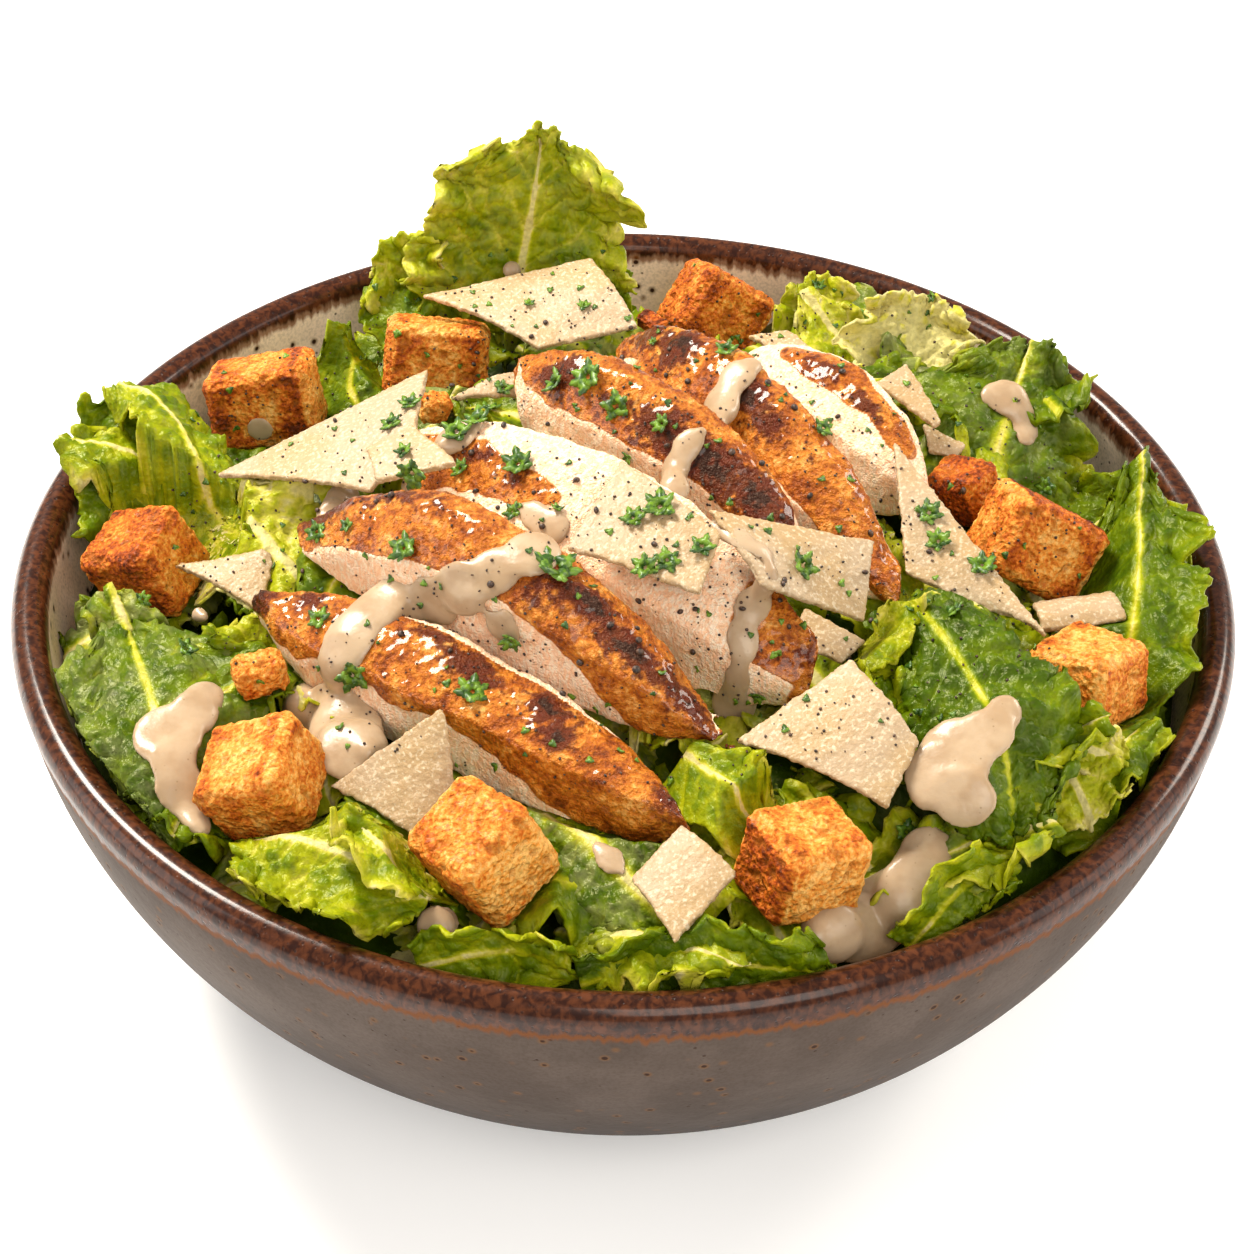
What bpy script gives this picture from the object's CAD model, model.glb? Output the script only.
"""Looks of a chicken caesar salad in its stoneware bowl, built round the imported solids.

Lengths in the tables and fields are in millimetres. Every mesh is built in millimetres and brought
to metres as it becomes an object.
"""

import logging
import math
import random
from dataclasses import dataclass, field
from enum import Enum
from typing import Optional, Sequence

import bmesh
import bpy
import numpy as np
from mathutils import Matrix, Vector, noise
from mathutils.bvhtree import BVHTree


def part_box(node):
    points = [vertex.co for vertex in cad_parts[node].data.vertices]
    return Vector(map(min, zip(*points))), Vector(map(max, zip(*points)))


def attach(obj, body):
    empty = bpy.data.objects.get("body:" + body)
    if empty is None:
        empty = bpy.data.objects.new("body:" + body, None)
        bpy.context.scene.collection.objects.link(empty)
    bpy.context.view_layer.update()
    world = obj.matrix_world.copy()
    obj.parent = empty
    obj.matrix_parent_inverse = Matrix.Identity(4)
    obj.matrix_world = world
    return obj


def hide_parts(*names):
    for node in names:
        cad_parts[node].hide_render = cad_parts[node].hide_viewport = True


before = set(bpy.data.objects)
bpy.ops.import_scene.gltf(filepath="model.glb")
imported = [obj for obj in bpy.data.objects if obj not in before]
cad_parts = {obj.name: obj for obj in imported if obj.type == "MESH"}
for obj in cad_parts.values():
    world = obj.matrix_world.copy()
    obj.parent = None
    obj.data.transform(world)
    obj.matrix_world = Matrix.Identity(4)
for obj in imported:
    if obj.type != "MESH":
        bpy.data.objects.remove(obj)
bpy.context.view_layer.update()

LOG = logging.getLogger("caesar_salad")
MM = 0.001
BODY = "root"
UP = Vector((0.0, 0.0, 1.0))
UP_AND_FORWARD = Vector((0.0, -0.6, 0.8))
FULL_TURN = 2.0 * math.pi
GOLDEN_ANGLE = 2.399963
Triple = tuple[float, float, float]
Stop = tuple[float, Triple]


class Slot(Enum):
    """The record's material slots."""

    STONEWARE = "glazed_stoneware"
    ROMAINE = "romaine"
    CHICKEN = "seared_chicken"
    BREAD = "toasted_bread"
    CHEESE = "hard_cheese"
    DRESSING = "dressing"
    PARSLEY = "parsley"
    PEPPER = "pepper"


# ---- finishes ----

class Graph:
    """A material's node graph, with its Principled shader at hand."""

    def __init__(self, name: str) -> None:
        """Start a material of that name.

        Args:
            name: the material's name.
        """
        self.material = bpy.data.materials.new(name)
        self.material.use_nodes = True
        self.tree = self.material.node_tree
        self.shader = self.tree.nodes["Principled BSDF"]
        self.output = self.tree.nodes["Material Output"]
        self.place = self.tree.nodes.new("ShaderNodeTexCoord").outputs["Object"]

    def link(self, value: object, socket: bpy.types.NodeSocket) -> None:
        """Feed a socket from another one, or set it to a number or a colour.

        Args:
            value: a socket, a number or a colour.
            socket: the input that takes it.
        """
        if isinstance(value, bpy.types.NodeSocket):
            self.tree.links.new(value, socket)
        elif isinstance(value, tuple):
            socket.default_value = (*value, 1.0) if len(socket.default_value) == 4 else value
        else:
            socket.default_value = value

    def noise(self, size: float, detail: float = 2.0, stretch: Optional[Triple] = None,
              warp: float = 0.0) -> bpy.types.NodeSocket:
        """Cloudy noise.

        Args:
            size: length of its largest features.
            detail: how many finer layers it has.
            stretch: factors on X, Y and Z, under 1 for longer features.
            warp: distortion.

        Returns:
            The socket with a value round a half.
        """
        node = self.tree.nodes.new("ShaderNodeTexNoise")
        node.inputs["Scale"].default_value = 1.0 / (size * MM)
        node.inputs["Detail"].default_value = detail
        node.inputs["Distortion"].default_value = warp
        self.link(self.stretched(stretch), node.inputs["Vector"])
        return node.outputs["Fac"]

    def stretched(self, stretch: Optional[Triple]) -> bpy.types.NodeSocket:
        """Object coordinates, scaled on each axis if asked.

        Args:
            stretch: the scale along each axis, or None for none.

        Returns:
            Object coordinates, scaled.
        """
        if stretch is None:
            return self.place
        node = self.tree.nodes.new("ShaderNodeMapping")
        self.link(self.place, node.inputs["Vector"])
        node.inputs["Scale"].default_value = stretch
        return node.outputs["Vector"]

    def cells(self, size: float) -> bpy.types.NodeSocket:
        """The distance from the middle of the nearest Voronoi cell.

        Args:
            size: the size of a cell in millimetres.

        Returns:
            The distance, from 0 in the middle.
        """
        node = self.tree.nodes.new("ShaderNodeTexVoronoi")
        node.inputs["Scale"].default_value = 1.0 / (size * MM)
        self.link(self.place, node.inputs["Vector"])
        return node.outputs["Distance"]

    def height(self) -> bpy.types.NodeSocket:
        """The height over the table, in metres.

        Returns:
            The height in metres.
        """
        node = self.tree.nodes.new("ShaderNodeSeparateXYZ")
        self.link(self.place, node.inputs["Vector"])
        return node.outputs["Z"]

    def mark(self, name: str) -> bpy.types.NodeSocket:
        """The value of one of the mesh's own attributes.

        Args:
            name: the attribute's name.

        Returns:
            Its value.
        """
        node = self.tree.nodes.new("ShaderNodeAttribute")
        node.attribute_name = name
        return node.outputs["Fac"]

    def sum(self, kind: str, first: object, second: object, clamp: bool = False) -> bpy.types.NodeSocket:
        """A Math node of that kind.

        Args:
            kind: the operation.
            first: a socket or a number.
            second: a socket or a number.
            clamp: whether the result stays from 0 to 1.

        Returns:
            The result.
        """
        node = self.tree.nodes.new("ShaderNodeMath")
        node.operation = kind
        node.use_clamp = clamp
        self.link(first, node.inputs[0])
        self.link(second, node.inputs[1])
        return node.outputs["Value"]

    def fade(self, value: bpy.types.NodeSocket, low: float, high: float,
             start: float = 0.0, end: float = 1.0) -> bpy.types.NodeSocket:
        """A smooth step from start at low to end at high.

        Args:
            value: what is mapped.
            low: the value that gives start.
            high: the value that gives end.
            start: the result at the low value.
            end: the result at the high value.

        Returns:
            The mapped value.
        """
        node = self.tree.nodes.new("ShaderNodeMapRange")
        node.interpolation_type = "SMOOTHSTEP"
        self.link(value, node.inputs["Value"])
        for name, number in (("From Min", low), ("From Max", high), ("To Min", start), ("To Max", end)):
            node.inputs[name].default_value = number
        return node.outputs["Result"]

    def ramp(self, value: bpy.types.NodeSocket, stops: Sequence[Stop]) -> bpy.types.NodeSocket:
        """Colours along a value.

        Args:
            value: where along the ramp, from 0 to 1.
            stops: places along it and their colours.

        Returns:
            The colour.
        """
        node = self.tree.nodes.new("ShaderNodeValToRGB")
        marks = node.color_ramp.elements
        while len(marks) < len(stops):
            marks.new(0.5)
        for element, (place, colour) in zip(marks, stops):
            element.position = place
            element.color = (*colour, 1.0)
        self.link(value, node.inputs["Fac"])
        return node.outputs["Color"]

    def mix(self, share: object, first: object, second: object) -> bpy.types.NodeSocket:
        """Two colours mixed by a share.

        Args:
            share: how much of the second.
            first: the first colour.
            second: the second colour.

        Returns:
            The mixed colour.
        """
        node = self.tree.nodes.new("ShaderNodeMix")
        node.data_type = "RGBA"
        self.link(share, node.inputs[0])
        self.link(first, node.inputs[6])
        self.link(second, node.inputs[7])
        return node.outputs[2]

    def bump(self, relief: bpy.types.NodeSocket, depth: float) -> bpy.types.NodeSocket:
        """Relief of a depth.

        Args:
            relief: the relief's height.
            depth: its depth in millimetres.

        Returns:
            The normal.
        """
        node = self.tree.nodes.new("ShaderNodeBump")
        node.inputs["Distance"].default_value = depth * MM
        self.link(relief, node.inputs["Height"])
        return node.outputs["Normal"]

    def dress(self, **values: object) -> None:
        """Set the shader's sockets; _ stands for a space in their names."""
        for name, value in values.items():
            self.link(value, self.shader.inputs[name.replace("_", " ")])


@dataclass(frozen=True)
class Stoneware:
    """Speckled satin glaze, with a glossy iron-brown lip that breaks into ochre below."""

    body: Triple = (0.100, 0.075, 0.061)
    shade: Triple = (0.074, 0.054, 0.043)
    foot_shade: Triple = (0.012, 0.008, 0.006)
    inner: Triple = (0.84, 0.66, 0.50)
    speck: Triple = (0.030, 0.012, 0.006)
    halo: Triple = (0.16, 0.075, 0.028)
    lip: Triple = (0.021, 0.005, 0.002)
    lip_light: Triple = (0.088, 0.025, 0.008)
    lip_pit: Triple = (0.02, 0.008, 0.005)
    ochre: Triple = (0.16, 0.050, 0.010)
    lip_foot: float = 81.6
    inner_rise: float = 3.0
    fringe: float = 2.4
    roughness: float = 0.55

    def make(self) -> bpy.types.Material:
        """Build the material.

        Returns:
            The material.
        """
        graph = Graph("stoneware_glaze")
        clouds = graph.noise(18.0, 3.0)
        body = graph.mix(graph.fade(clouds, 0.35, 0.65), self.body, self.shade)
        body = graph.mix(graph.fade(graph.height(), 0.0, 0.072, 1.0, 0.0), body, self.foot_shade)
        body = graph.mix(graph.mark("inside"), body, self.inner)
        fine = graph.noise(0.7, 2.0)
        body = graph.mix(graph.fade(fine, 0.35, 0.75, 0.0, 0.25), body, self.speck)
        wide = graph.fade(graph.cells(4.6), 0.10, 0.30, 1.0, 0.0)
        some = graph.fade(graph.noise(9.0, 1.0), 0.44, 0.52)
        specks = graph.sum("MULTIPLY", wide, some)
        body = graph.mix(graph.sum("MULTIPLY", specks, 0.75), body, self.halo)
        pin = graph.fade(graph.cells(4.6), 0.09, 0.16, 1.0, 0.0)
        small = graph.fade(graph.cells(2.6), 0.08, 0.17, 1.0, 0.0)
        small = graph.sum("MULTIPLY", small, graph.fade(graph.noise(4.0, 1.0), 0.5, 0.56))
        pins = graph.sum("MAXIMUM", graph.sum("MULTIPLY", pin, some), graph.sum("MULTIPLY", small, 0.8))
        body = graph.mix(pins, body, self.speck)
        streak = graph.noise(1.6, 3.0, (1.0, 1.0, 0.12))
        run = graph.sum("MULTIPLY", graph.sum("SUBTRACT", streak, 0.5), 2.0 * self.fringe * MM)
        level = graph.sum("ADD", graph.height(), run)
        drop = graph.sum("MULTIPLY", graph.mark("inside"), self.inner_rise * MM)
        level = graph.sum("SUBTRACT", level, drop)
        foot = self.lip_foot * MM
        ochre = graph.fade(level, foot - 2.6 * MM, foot - 0.9 * MM)
        brown = graph.fade(level, foot - 0.9 * MM, foot + 0.6 * MM)
        mottle = graph.fade(graph.noise(1.5, 4.0, (1.0, 1.0, 0.6), 0.6), 0.34, 0.70)
        pits = graph.fade(graph.cells(1.7), 0.10, 0.24, 0.75, 0.0)
        lip = graph.mix(mottle, self.lip, self.lip_light)
        lip = graph.mix(pits, lip, self.lip_pit)
        colour = graph.mix(graph.sum("MULTIPLY", ochre, 0.85), body, self.ochre)
        colour = graph.mix(brown, colour, lip)
        relief = graph.sum("ADD", graph.sum("MULTIPLY", pins, -0.6), graph.noise(3.0, 3.0))
        pitted = graph.sum("MULTIPLY", pits, brown)
        relief = graph.sum("SUBTRACT", relief, graph.sum("MULTIPLY", pitted, 0.8))
        graph.dress(Base_Color=colour, Roughness=graph.fade(brown, 0.0, 1.0, self.roughness, 0.30),
                    Normal=graph.bump(relief, 0.16), Specular_IOR_Level=0.08)
        graph.dress(Coat_Weight=graph.sum("MULTIPLY", brown, 0.40), Coat_Roughness=0.16)
        return graph.material


@dataclass(frozen=True)
class LeafGreen:
    """Moist romaine: tone runs from dark outer leaf to pale heart, and veins are lighter."""

    shades: tuple[Stop, ...] = (
        (0.0, (0.015, 0.038, 0.001)),
        (0.25, (0.060, 0.120, 0.001)),
        (0.5, (0.175, 0.250, 0.001)),
        (0.75, (0.46, 0.48, 0.006)),
        (0.9, (0.74, 0.67, 0.080)),
        (1.0, (0.84, 0.74, 0.300)),
    )
    film: Triple = (0.50, 0.43, 0.24)
    freckle: Triple = (0.03, 0.05, 0.004)
    glow: Triple = (0.66, 0.66, 0.01)
    roughness: float = 0.34
    through: float = 0.30

    def make(self) -> bpy.types.Material:
        """Build the material.

        Returns:
            The material.
        """
        graph = Graph("romaine_leaf")
        vein = graph.mark("vein")
        tone = graph.mark("tone")
        patch = graph.sum("MULTIPLY", graph.sum("SUBTRACT", graph.noise(6.0, 4.0), 0.5), 0.80)
        lit = graph.sum("ADD", graph.sum("ADD", tone, patch), graph.sum("MULTIPLY", vein, 0.36))
        lit = graph.sum("SUBTRACT", lit, 0.06)
        colour = graph.ramp(lit, self.shades)
        grain = graph.noise(0.9, 2.0)
        colour = graph.mix(graph.fade(grain, 0.35, 0.7, 0.0, 0.22), colour, self.freckle)
        smears = graph.fade(graph.noise(5.0, 4.0, None, 1.2), 0.40, 0.62)
        film = graph.sum("MULTIPLY", graph.mark("film"), smears)
        film = graph.sum("MULTIPLY", film, 0.85, True)
        colour = graph.mix(film, colour, self.film)
        relief = graph.sum("ADD", graph.sum("MULTIPLY", graph.noise(1.5, 3.0), 1.2),
                           graph.sum("MULTIPLY", vein, -0.5))
        graph.dress(Base_Color=colour, Roughness=self.roughness, Normal=graph.bump(relief, 0.5),
                    Specular_IOR_Level=0.34, Specular_Tint=(1.0, 0.95, 0.45),
                    Coat_Weight=0.04, Coat_Roughness=0.12)
        glow = graph.tree.nodes.new("ShaderNodeBsdfTranslucent")
        graph.link(graph.mix(0.35, colour, self.glow), glow.inputs["Color"])
        both = graph.tree.nodes.new("ShaderNodeMixShader")
        both.inputs[0].default_value = self.through
        graph.link(graph.shader.outputs[0], both.inputs[1])
        graph.link(glow.outputs[0], both.inputs[2])
        graph.link(both.outputs[0], graph.output.inputs["Surface"])
        return graph.material


@dataclass(frozen=True)
class SearedMeat:
    """Chicken breast: a glossy grained crust with char, and pale fibrous cut faces."""

    crust: tuple[Stop, ...] = (
        (0.0, (0.070, 0.009, 0.001)),
        (0.22, (0.200, 0.036, 0.002)),
        (0.42, (0.390, 0.095, 0.006)),
        (0.64, (0.600, 0.195, 0.018)),
        (0.88, (0.840, 0.420, 0.110)),
    )
    char: Triple = (0.085, 0.007, 0.001)
    burnt: Triple = (0.010, 0.003, 0.002)
    flesh: Triple = (0.94, 0.570, 0.340)
    flesh_light: Triple = (0.97, 0.790, 0.590)
    freckle: Triple = (0.22, 0.07, 0.025)
    rim: Triple = (0.66, 0.190, 0.018)
    roughness: float = 0.36

    def make(self) -> bpy.types.Material:
        """Build the material.

        Returns:
            The material.
        """
        graph = Graph("seared_chicken")
        sear = graph.mark("crust")
        char = graph.mark("char")
        grain = graph.noise(1.1, 3.0)
        coarse = graph.noise(6.0, 3.0, None, 0.6)
        shade = graph.sum("ADD", graph.sum("MULTIPLY", coarse, 1.3), graph.sum("MULTIPLY", grain, 0.9))
        shade = graph.sum("SUBTRACT", shade, 0.61)
        crust = graph.ramp(shade, self.crust)
        patchy = graph.sum("MULTIPLY", graph.sum("SUBTRACT", graph.noise(1.8, 4.0), 0.5), 1.5)
        dark = graph.sum("ADD", char, patchy)
        crust = graph.mix(graph.fade(dark, 0.27, 0.62, 0.0, 0.94), crust, self.char)
        crust = graph.mix(graph.fade(dark, 0.84, 1.10, 0.0, 0.85), crust, self.burnt)
        fibre = graph.noise(1.0, 4.0, (1.0, 1.0, 0.45), 0.8)
        flesh = graph.mix(graph.fade(fibre, 0.38, 0.66), self.flesh, self.flesh_light)
        dots = graph.sum("MULTIPLY", graph.fade(graph.cells(1.9), 0.06, 0.16, 1.0, 0.0),
                         graph.fade(graph.noise(5.0, 1.0), 0.48, 0.60))
        flesh = graph.mix(graph.sum("MULTIPLY", dots, 0.65), flesh, self.freckle)
        ragged = graph.sum("MULTIPLY", graph.sum("SUBTRACT", graph.noise(2.0, 3.0), 0.5), 0.35)
        edge = graph.sum("ADD", sear, ragged)
        seared = graph.fade(edge, 0.40, 0.60)
        line = graph.sum("MULTIPLY", graph.fade(edge, 0.26, 0.44), graph.fade(edge, 0.46, 0.75, 1.0, 0.0))
        colour = graph.mix(seared, flesh, crust)
        colour = graph.mix(graph.sum("MULTIPLY", line, 0.75), colour, self.rim)
        relief = graph.sum("ADD", graph.sum("MULTIPLY", grain, graph.fade(seared, 0.0, 1.0, 0.5, 1.2)),
                           graph.sum("MULTIPLY", graph.noise(0.45, 2.0), 0.45))
        graph.dress(Base_Color=colour, Roughness=graph.fade(seared, 0.0, 1.0, 0.48, self.roughness),
                    Normal=graph.bump(relief, 1.2), Specular_IOR_Level=0.30,
                    Specular_Tint=(1.0, 0.66, 0.42), Subsurface_Weight=0.06, Subsurface_Scale=0.001,
                    Coat_Weight=graph.sum("MULTIPLY", seared, 0.40), Coat_Roughness=0.09)
        graph.shader.inputs["Subsurface Radius"].default_value = (1.0, 0.45, 0.25)
        return graph.material


@dataclass(frozen=True)
class Toast:
    """Toasted crumb: golden and porous, browner along edges and on seared sides."""

    shades: tuple[Stop, ...] = (
        (0.0, (0.86, 0.470, 0.130)),
        (0.28, (0.74, 0.275, 0.036)),
        (0.52, (0.58, 0.130, 0.008)),
        (0.78, (0.30, 0.045, 0.003)),
        (1.0, (0.10, 0.012, 0.002)),
    )
    pore: Triple = (0.36, 0.11, 0.010)
    roughness: float = 0.55

    def make(self) -> bpy.types.Material:
        """Build the material.

        Returns:
            The material.
        """
        graph = Graph("toasted_crumb")
        blotch = graph.sum("MULTIPLY", graph.sum("SUBTRACT", graph.noise(4.5, 4.0, None, 0.5), 0.5), 0.85)
        speck = graph.sum("MULTIPLY", graph.sum("SUBTRACT", graph.noise(0.9, 3.0), 0.5), 1.25)
        toast = graph.sum("ADD", graph.sum("ADD", graph.mark("toast"), blotch), speck)
        colour = graph.ramp(toast, self.shades)
        hole = graph.mark("pore")
        colour = graph.mix(graph.sum("MULTIPLY", hole, 0.55), colour, self.pore)
        relief = graph.sum("ADD", graph.noise(0.8, 3.0), graph.sum("MULTIPLY", graph.cells(1.2), 0.7))
        graph.dress(Base_Color=colour, Roughness=self.roughness, Normal=graph.bump(relief, 1.0),
                    Specular_IOR_Level=0.30, Specular_Tint=(1.0, 0.8, 0.5),
                    Coat_Weight=0.05, Coat_Roughness=0.18,
                    Subsurface_Weight=0.08, Subsurface_Scale=0.0015)
        graph.shader.inputs["Subsurface Radius"].default_value = (1.0, 0.5, 0.2)
        return graph.material


@dataclass(frozen=True)
class HardCheese:
    """Aged hard cheese: pale cream, with fine white grain and a deeper shade at places."""

    base: Triple = (0.41, 0.290, 0.168)
    deep: Triple = (0.40, 0.260, 0.115)
    grain: Triple = (0.60, 0.490, 0.330)
    roughness: float = 0.5

    def make(self) -> bpy.types.Material:
        """Build the material.

        Returns:
            The material.
        """
        graph = Graph("hard_cheese")
        colour = graph.mix(graph.fade(graph.noise(14.0, 2.0), 0.35, 0.65), self.base, self.deep)
        grains = graph.fade(graph.noise(0.8, 3.0), 0.52, 0.66, 0.0, 0.75)
        colour = graph.mix(grains, colour, self.grain)
        spots = graph.fade(graph.cells(1.6), 0.05, 0.20, 0.6, 0.0)
        colour = graph.mix(spots, colour, self.grain)
        relief = graph.sum("ADD", graph.noise(0.7, 4.0), graph.sum("MULTIPLY", graph.noise(3.5, 2.0), 0.9))
        graph.dress(Base_Color=colour, Roughness=self.roughness, Normal=graph.bump(relief, 0.22),
                    Subsurface_Weight=0.15, Subsurface_Scale=0.002)
        graph.shader.inputs["Subsurface Radius"].default_value = (1.0, 0.7, 0.4)
        return graph.material


@dataclass(frozen=True)
class CreamyDressing:
    """Thick caesar dressing: glossy cream with faint herb and pepper flecks."""

    base: Triple = (0.37, 0.250, 0.145)
    pale: Triple = (0.45, 0.325, 0.205)
    fleck: Triple = (0.20, 0.12, 0.04)
    roughness: float = 0.28

    def make(self) -> bpy.types.Material:
        """Build the material.

        Returns:
            The material.
        """
        graph = Graph("creamy_dressing")
        colour = graph.mix(graph.fade(graph.noise(6.0, 3.0), 0.35, 0.65), self.base, self.pale)
        flecks = graph.sum("MULTIPLY", graph.fade(graph.cells(1.7), 0.06, 0.15, 1.0, 0.0),
                           graph.fade(graph.noise(3.0, 1.0), 0.47, 0.55))
        colour = graph.mix(graph.sum("MULTIPLY", flecks, 0.6), colour, self.fleck)
        graph.dress(Base_Color=colour, Roughness=self.roughness,
                    Normal=graph.bump(graph.noise(2.4, 3.0), 0.15), Specular_IOR_Level=0.35,
                    Subsurface_Weight=0.2, Subsurface_Scale=0.002)
        graph.shader.inputs["Subsurface Radius"].default_value = (1.0, 0.7, 0.45)
        return graph.material


@dataclass(frozen=True)
class Garnish:
    """A small garnish's colour, mottled between two shades."""

    name: str
    dark: Triple
    light: Triple
    size: float
    roughness: float

    def make(self) -> bpy.types.Material:
        """Build the material.

        Returns:
            The material.
        """
        graph = Graph(self.name)
        colour = graph.mix(graph.fade(graph.noise(self.size, 3.0), 0.38, 0.64), self.dark, self.light)
        graph.dress(Base_Color=colour, Roughness=self.roughness,
                    Normal=graph.bump(graph.noise(0.5 * self.size, 2.0), 0.12))
        return graph.material


@dataclass(frozen=True)
class TableTop:
    """Plain pale table."""

    colour: Triple = (0.93, 0.93, 0.93)
    cloud: Triple = (0.88, 0.88, 0.88)
    glow: float = 0.18

    def make(self) -> bpy.types.Material:
        """Build the material.

        Returns:
            The material.
        """
        graph = Graph("pale_table")
        clouds = graph.fade(graph.noise(400.0, 1.0), 0.2, 0.8, 0.0, 0.04)
        graph.dress(Base_Color=graph.mix(clouds, self.colour, self.cloud), Roughness=0.9,
                    Emission_Color=(1.0, 1.0, 1.0), Emission_Strength=self.glow)
        return graph.material


PARSLEY_GREEN = Garnish("parsley_leaf", (0.022, 0.070, 0.003), (0.135, 0.250, 0.010), 1.6, 0.42)
PEPPER_BLACK = Garnish("cracked_pepper", (0.012, 0.007, 0.005), (0.085, 0.038, 0.018), 0.6, 0.45)


# ---- mesh helpers ----

def smooth(value: np.ndarray, low: float, high: float) -> np.ndarray:
    """Smooth step from 0 at low to 1 at high."""
    share = np.clip((value - low) / (high - low), 0.0, 1.0)
    return share * share * (3.0 - 2.0 * share)


def make_object(name: str, bm: bmesh.types.BMesh, material: bpy.types.Material) -> bpy.types.Object:
    """Make an object of a mesh in millimetres.

    Args:
        name: the piece's name.
        bm: its mesh, which is used up.
        material: its finish.

    Returns:
        The object, at the origin, in metres.
    """
    bmesh.ops.scale(bm, vec=(MM, MM, MM), verts=bm.verts)
    mesh = bpy.data.meshes.new(name)
    bm.to_mesh(mesh)
    bm.free()
    mesh.materials.append(material)
    mesh.polygons.foreach_set("use_smooth", np.ones(len(mesh.polygons), bool))
    piece = bpy.data.objects.new(name, mesh)
    bpy.context.scene.collection.objects.link(piece)
    return piece


def settle(piece: bpy.types.Object, replaced: Sequence[str] = ()) -> None:
    """Let a piece ride on the salad and say what it stands for.

    Args:
        piece: the finished piece.
        replaced: the CAD nodes it stands for.
    """
    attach(piece, BODY)
    if replaced:
        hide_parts(*replaced)
    LOG.info("%s: %d faces", piece.name, len(piece.data.polygons))


def points_of(mesh: bpy.types.Mesh, normals: bool = False) -> np.ndarray:
    """A mesh's points in millimetres, or its normals.

    Args:
        mesh: the mesh.
        normals: whether its vertex normals are wanted instead.

    Returns:
        An array of n rows of x, y and z, places in millimetres.
    """
    flat = np.empty(len(mesh.vertices) * 3)
    if normals:
        mesh.vertex_normals.foreach_get("vector", flat)
        return flat.reshape(-1, 3)
    mesh.vertices.foreach_get("co", flat)
    return flat.reshape(-1, 3) / MM


def set_points(mesh: bpy.types.Mesh, points: np.ndarray) -> None:
    """Put a mesh's points, given in millimetres."""
    mesh.vertices.foreach_set("co", (points * MM).ravel())
    mesh.update()


def set_mark(mesh: bpy.types.Mesh, name: str, values: np.ndarray) -> None:
    """Store a value for every point of a mesh."""
    layer = mesh.attributes.new(name, "FLOAT", "POINT")
    layer.data.foreach_set("value", np.asarray(values, np.float32))


def node_mesh(name: str) -> bmesh.types.BMesh:
    """A merged copy of a CAD node's mesh, in millimetres.

    Args:
        name: the CAD node's name.

    Returns:
        A mesh of it in millimetres.
    """
    bm = bmesh.new()
    bm.from_mesh(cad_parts[name].data)
    bmesh.ops.remove_doubles(bm, verts=bm.verts, dist=0.01 * MM)
    bmesh.ops.scale(bm, vec=(1.0 / MM,) * 3, verts=bm.verts)
    return bm


def remesh(piece: bpy.types.Object, voxel: float, rounds: int) -> None:
    """Give a piece an even fine mesh.

    Args:
        piece: the piece to rework.
        voxel: the size of its new faces.
        rounds: how often the result is smoothed.
    """
    grid = piece.modifiers.new("even", "REMESH")
    grid.mode = "VOXEL"
    grid.voxel_size = voxel * MM
    bpy.context.view_layer.update()
    even = bpy.data.meshes.new_from_object(piece.evaluated_get(bpy.context.evaluated_depsgraph_get()))
    piece.modifiers.clear()
    bm = bmesh.new()
    bm.from_mesh(even)
    for _ in range(rounds):
        bmesh.ops.smooth_vert(bm, verts=bm.verts, factor=0.5,
                              use_axis_x=True, use_axis_y=True, use_axis_z=True)
    finish = piece.data.materials[0]
    old = piece.data
    bm.to_mesh(even)
    bm.free()
    even.materials.clear()
    even.materials.append(finish)
    even.polygons.foreach_set("use_smooth", np.ones(len(even.polygons), bool))
    piece.data = even
    even.name = piece.name
    bpy.data.meshes.remove(old)


def noise_at(points: np.ndarray, size: float, seed: float = 0.0) -> np.ndarray:
    """Noise between about -1 and 1 at each point, with features of a size."""
    step = 1.0 / size
    return np.array([noise.noise((x * step + seed, y * step, z * step)) for x, y, z in points])


def cells_at(points: np.ndarray, size: float, seed: float = 0.0) -> np.ndarray:
    """How far each point is inside its Voronoi cell: 0 on a border, about 1 in the middle.

    Args:
        points: the places, in millimetres.
        size: the size of a cell.
        seed: what sets this pattern apart.

    Returns:
        For each place, how far it stands inside its cell.
    """
    step = 1.0 / size
    gaps = []
    for x, y, z in points:
        near, _ = noise.voronoi((x * step + seed, y * step, z * step))
        gaps.append(near[1] - near[0])
    return np.array(gaps)


def tree_of(pieces: Sequence[bpy.types.Object]) -> BVHTree:
    """A search tree of several pieces' surfaces, in millimetres.

    Args:
        pieces: the pieces to look up.

    Returns:
        A tree of their faces, in millimetres.
    """
    bm = bmesh.new()
    for piece in pieces:
        bm.from_mesh(piece.data)
    bmesh.ops.scale(bm, vec=(1.0 / MM,) * 3, verts=bm.verts)
    tree = BVHTree.FromBMesh(bm)
    bm.free()
    return tree


class Stamps:
    """Many small meshes that become one, gathered in batches so that adding stays quick."""

    def __init__(self, batch: int = 60) -> None:
        """Start with nothing; batch is how many are added between gatherings.

        Args:
            batch: how many shapes are gathered before they join the rest.
        """
        self.whole = bmesh.new()
        self.bm = bmesh.new()
        self.batch = batch
        self.added = 0

    def count(self) -> None:
        """Say that one more was added to the open mesh."""
        self.added += 1
        if self.added % self.batch == 0:
            self.gather()

    def gather(self) -> bmesh.types.BMesh:
        """Move what is open to the whole.

        Returns:
            The whole mesh so far.
        """
        passing = bpy.data.meshes.new("batch")
        self.bm.to_mesh(passing)
        self.bm.free()
        self.whole.from_mesh(passing)
        bpy.data.meshes.remove(passing)
        self.bm = bmesh.new()
        return self.whole


# ---- bowl ----

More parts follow.
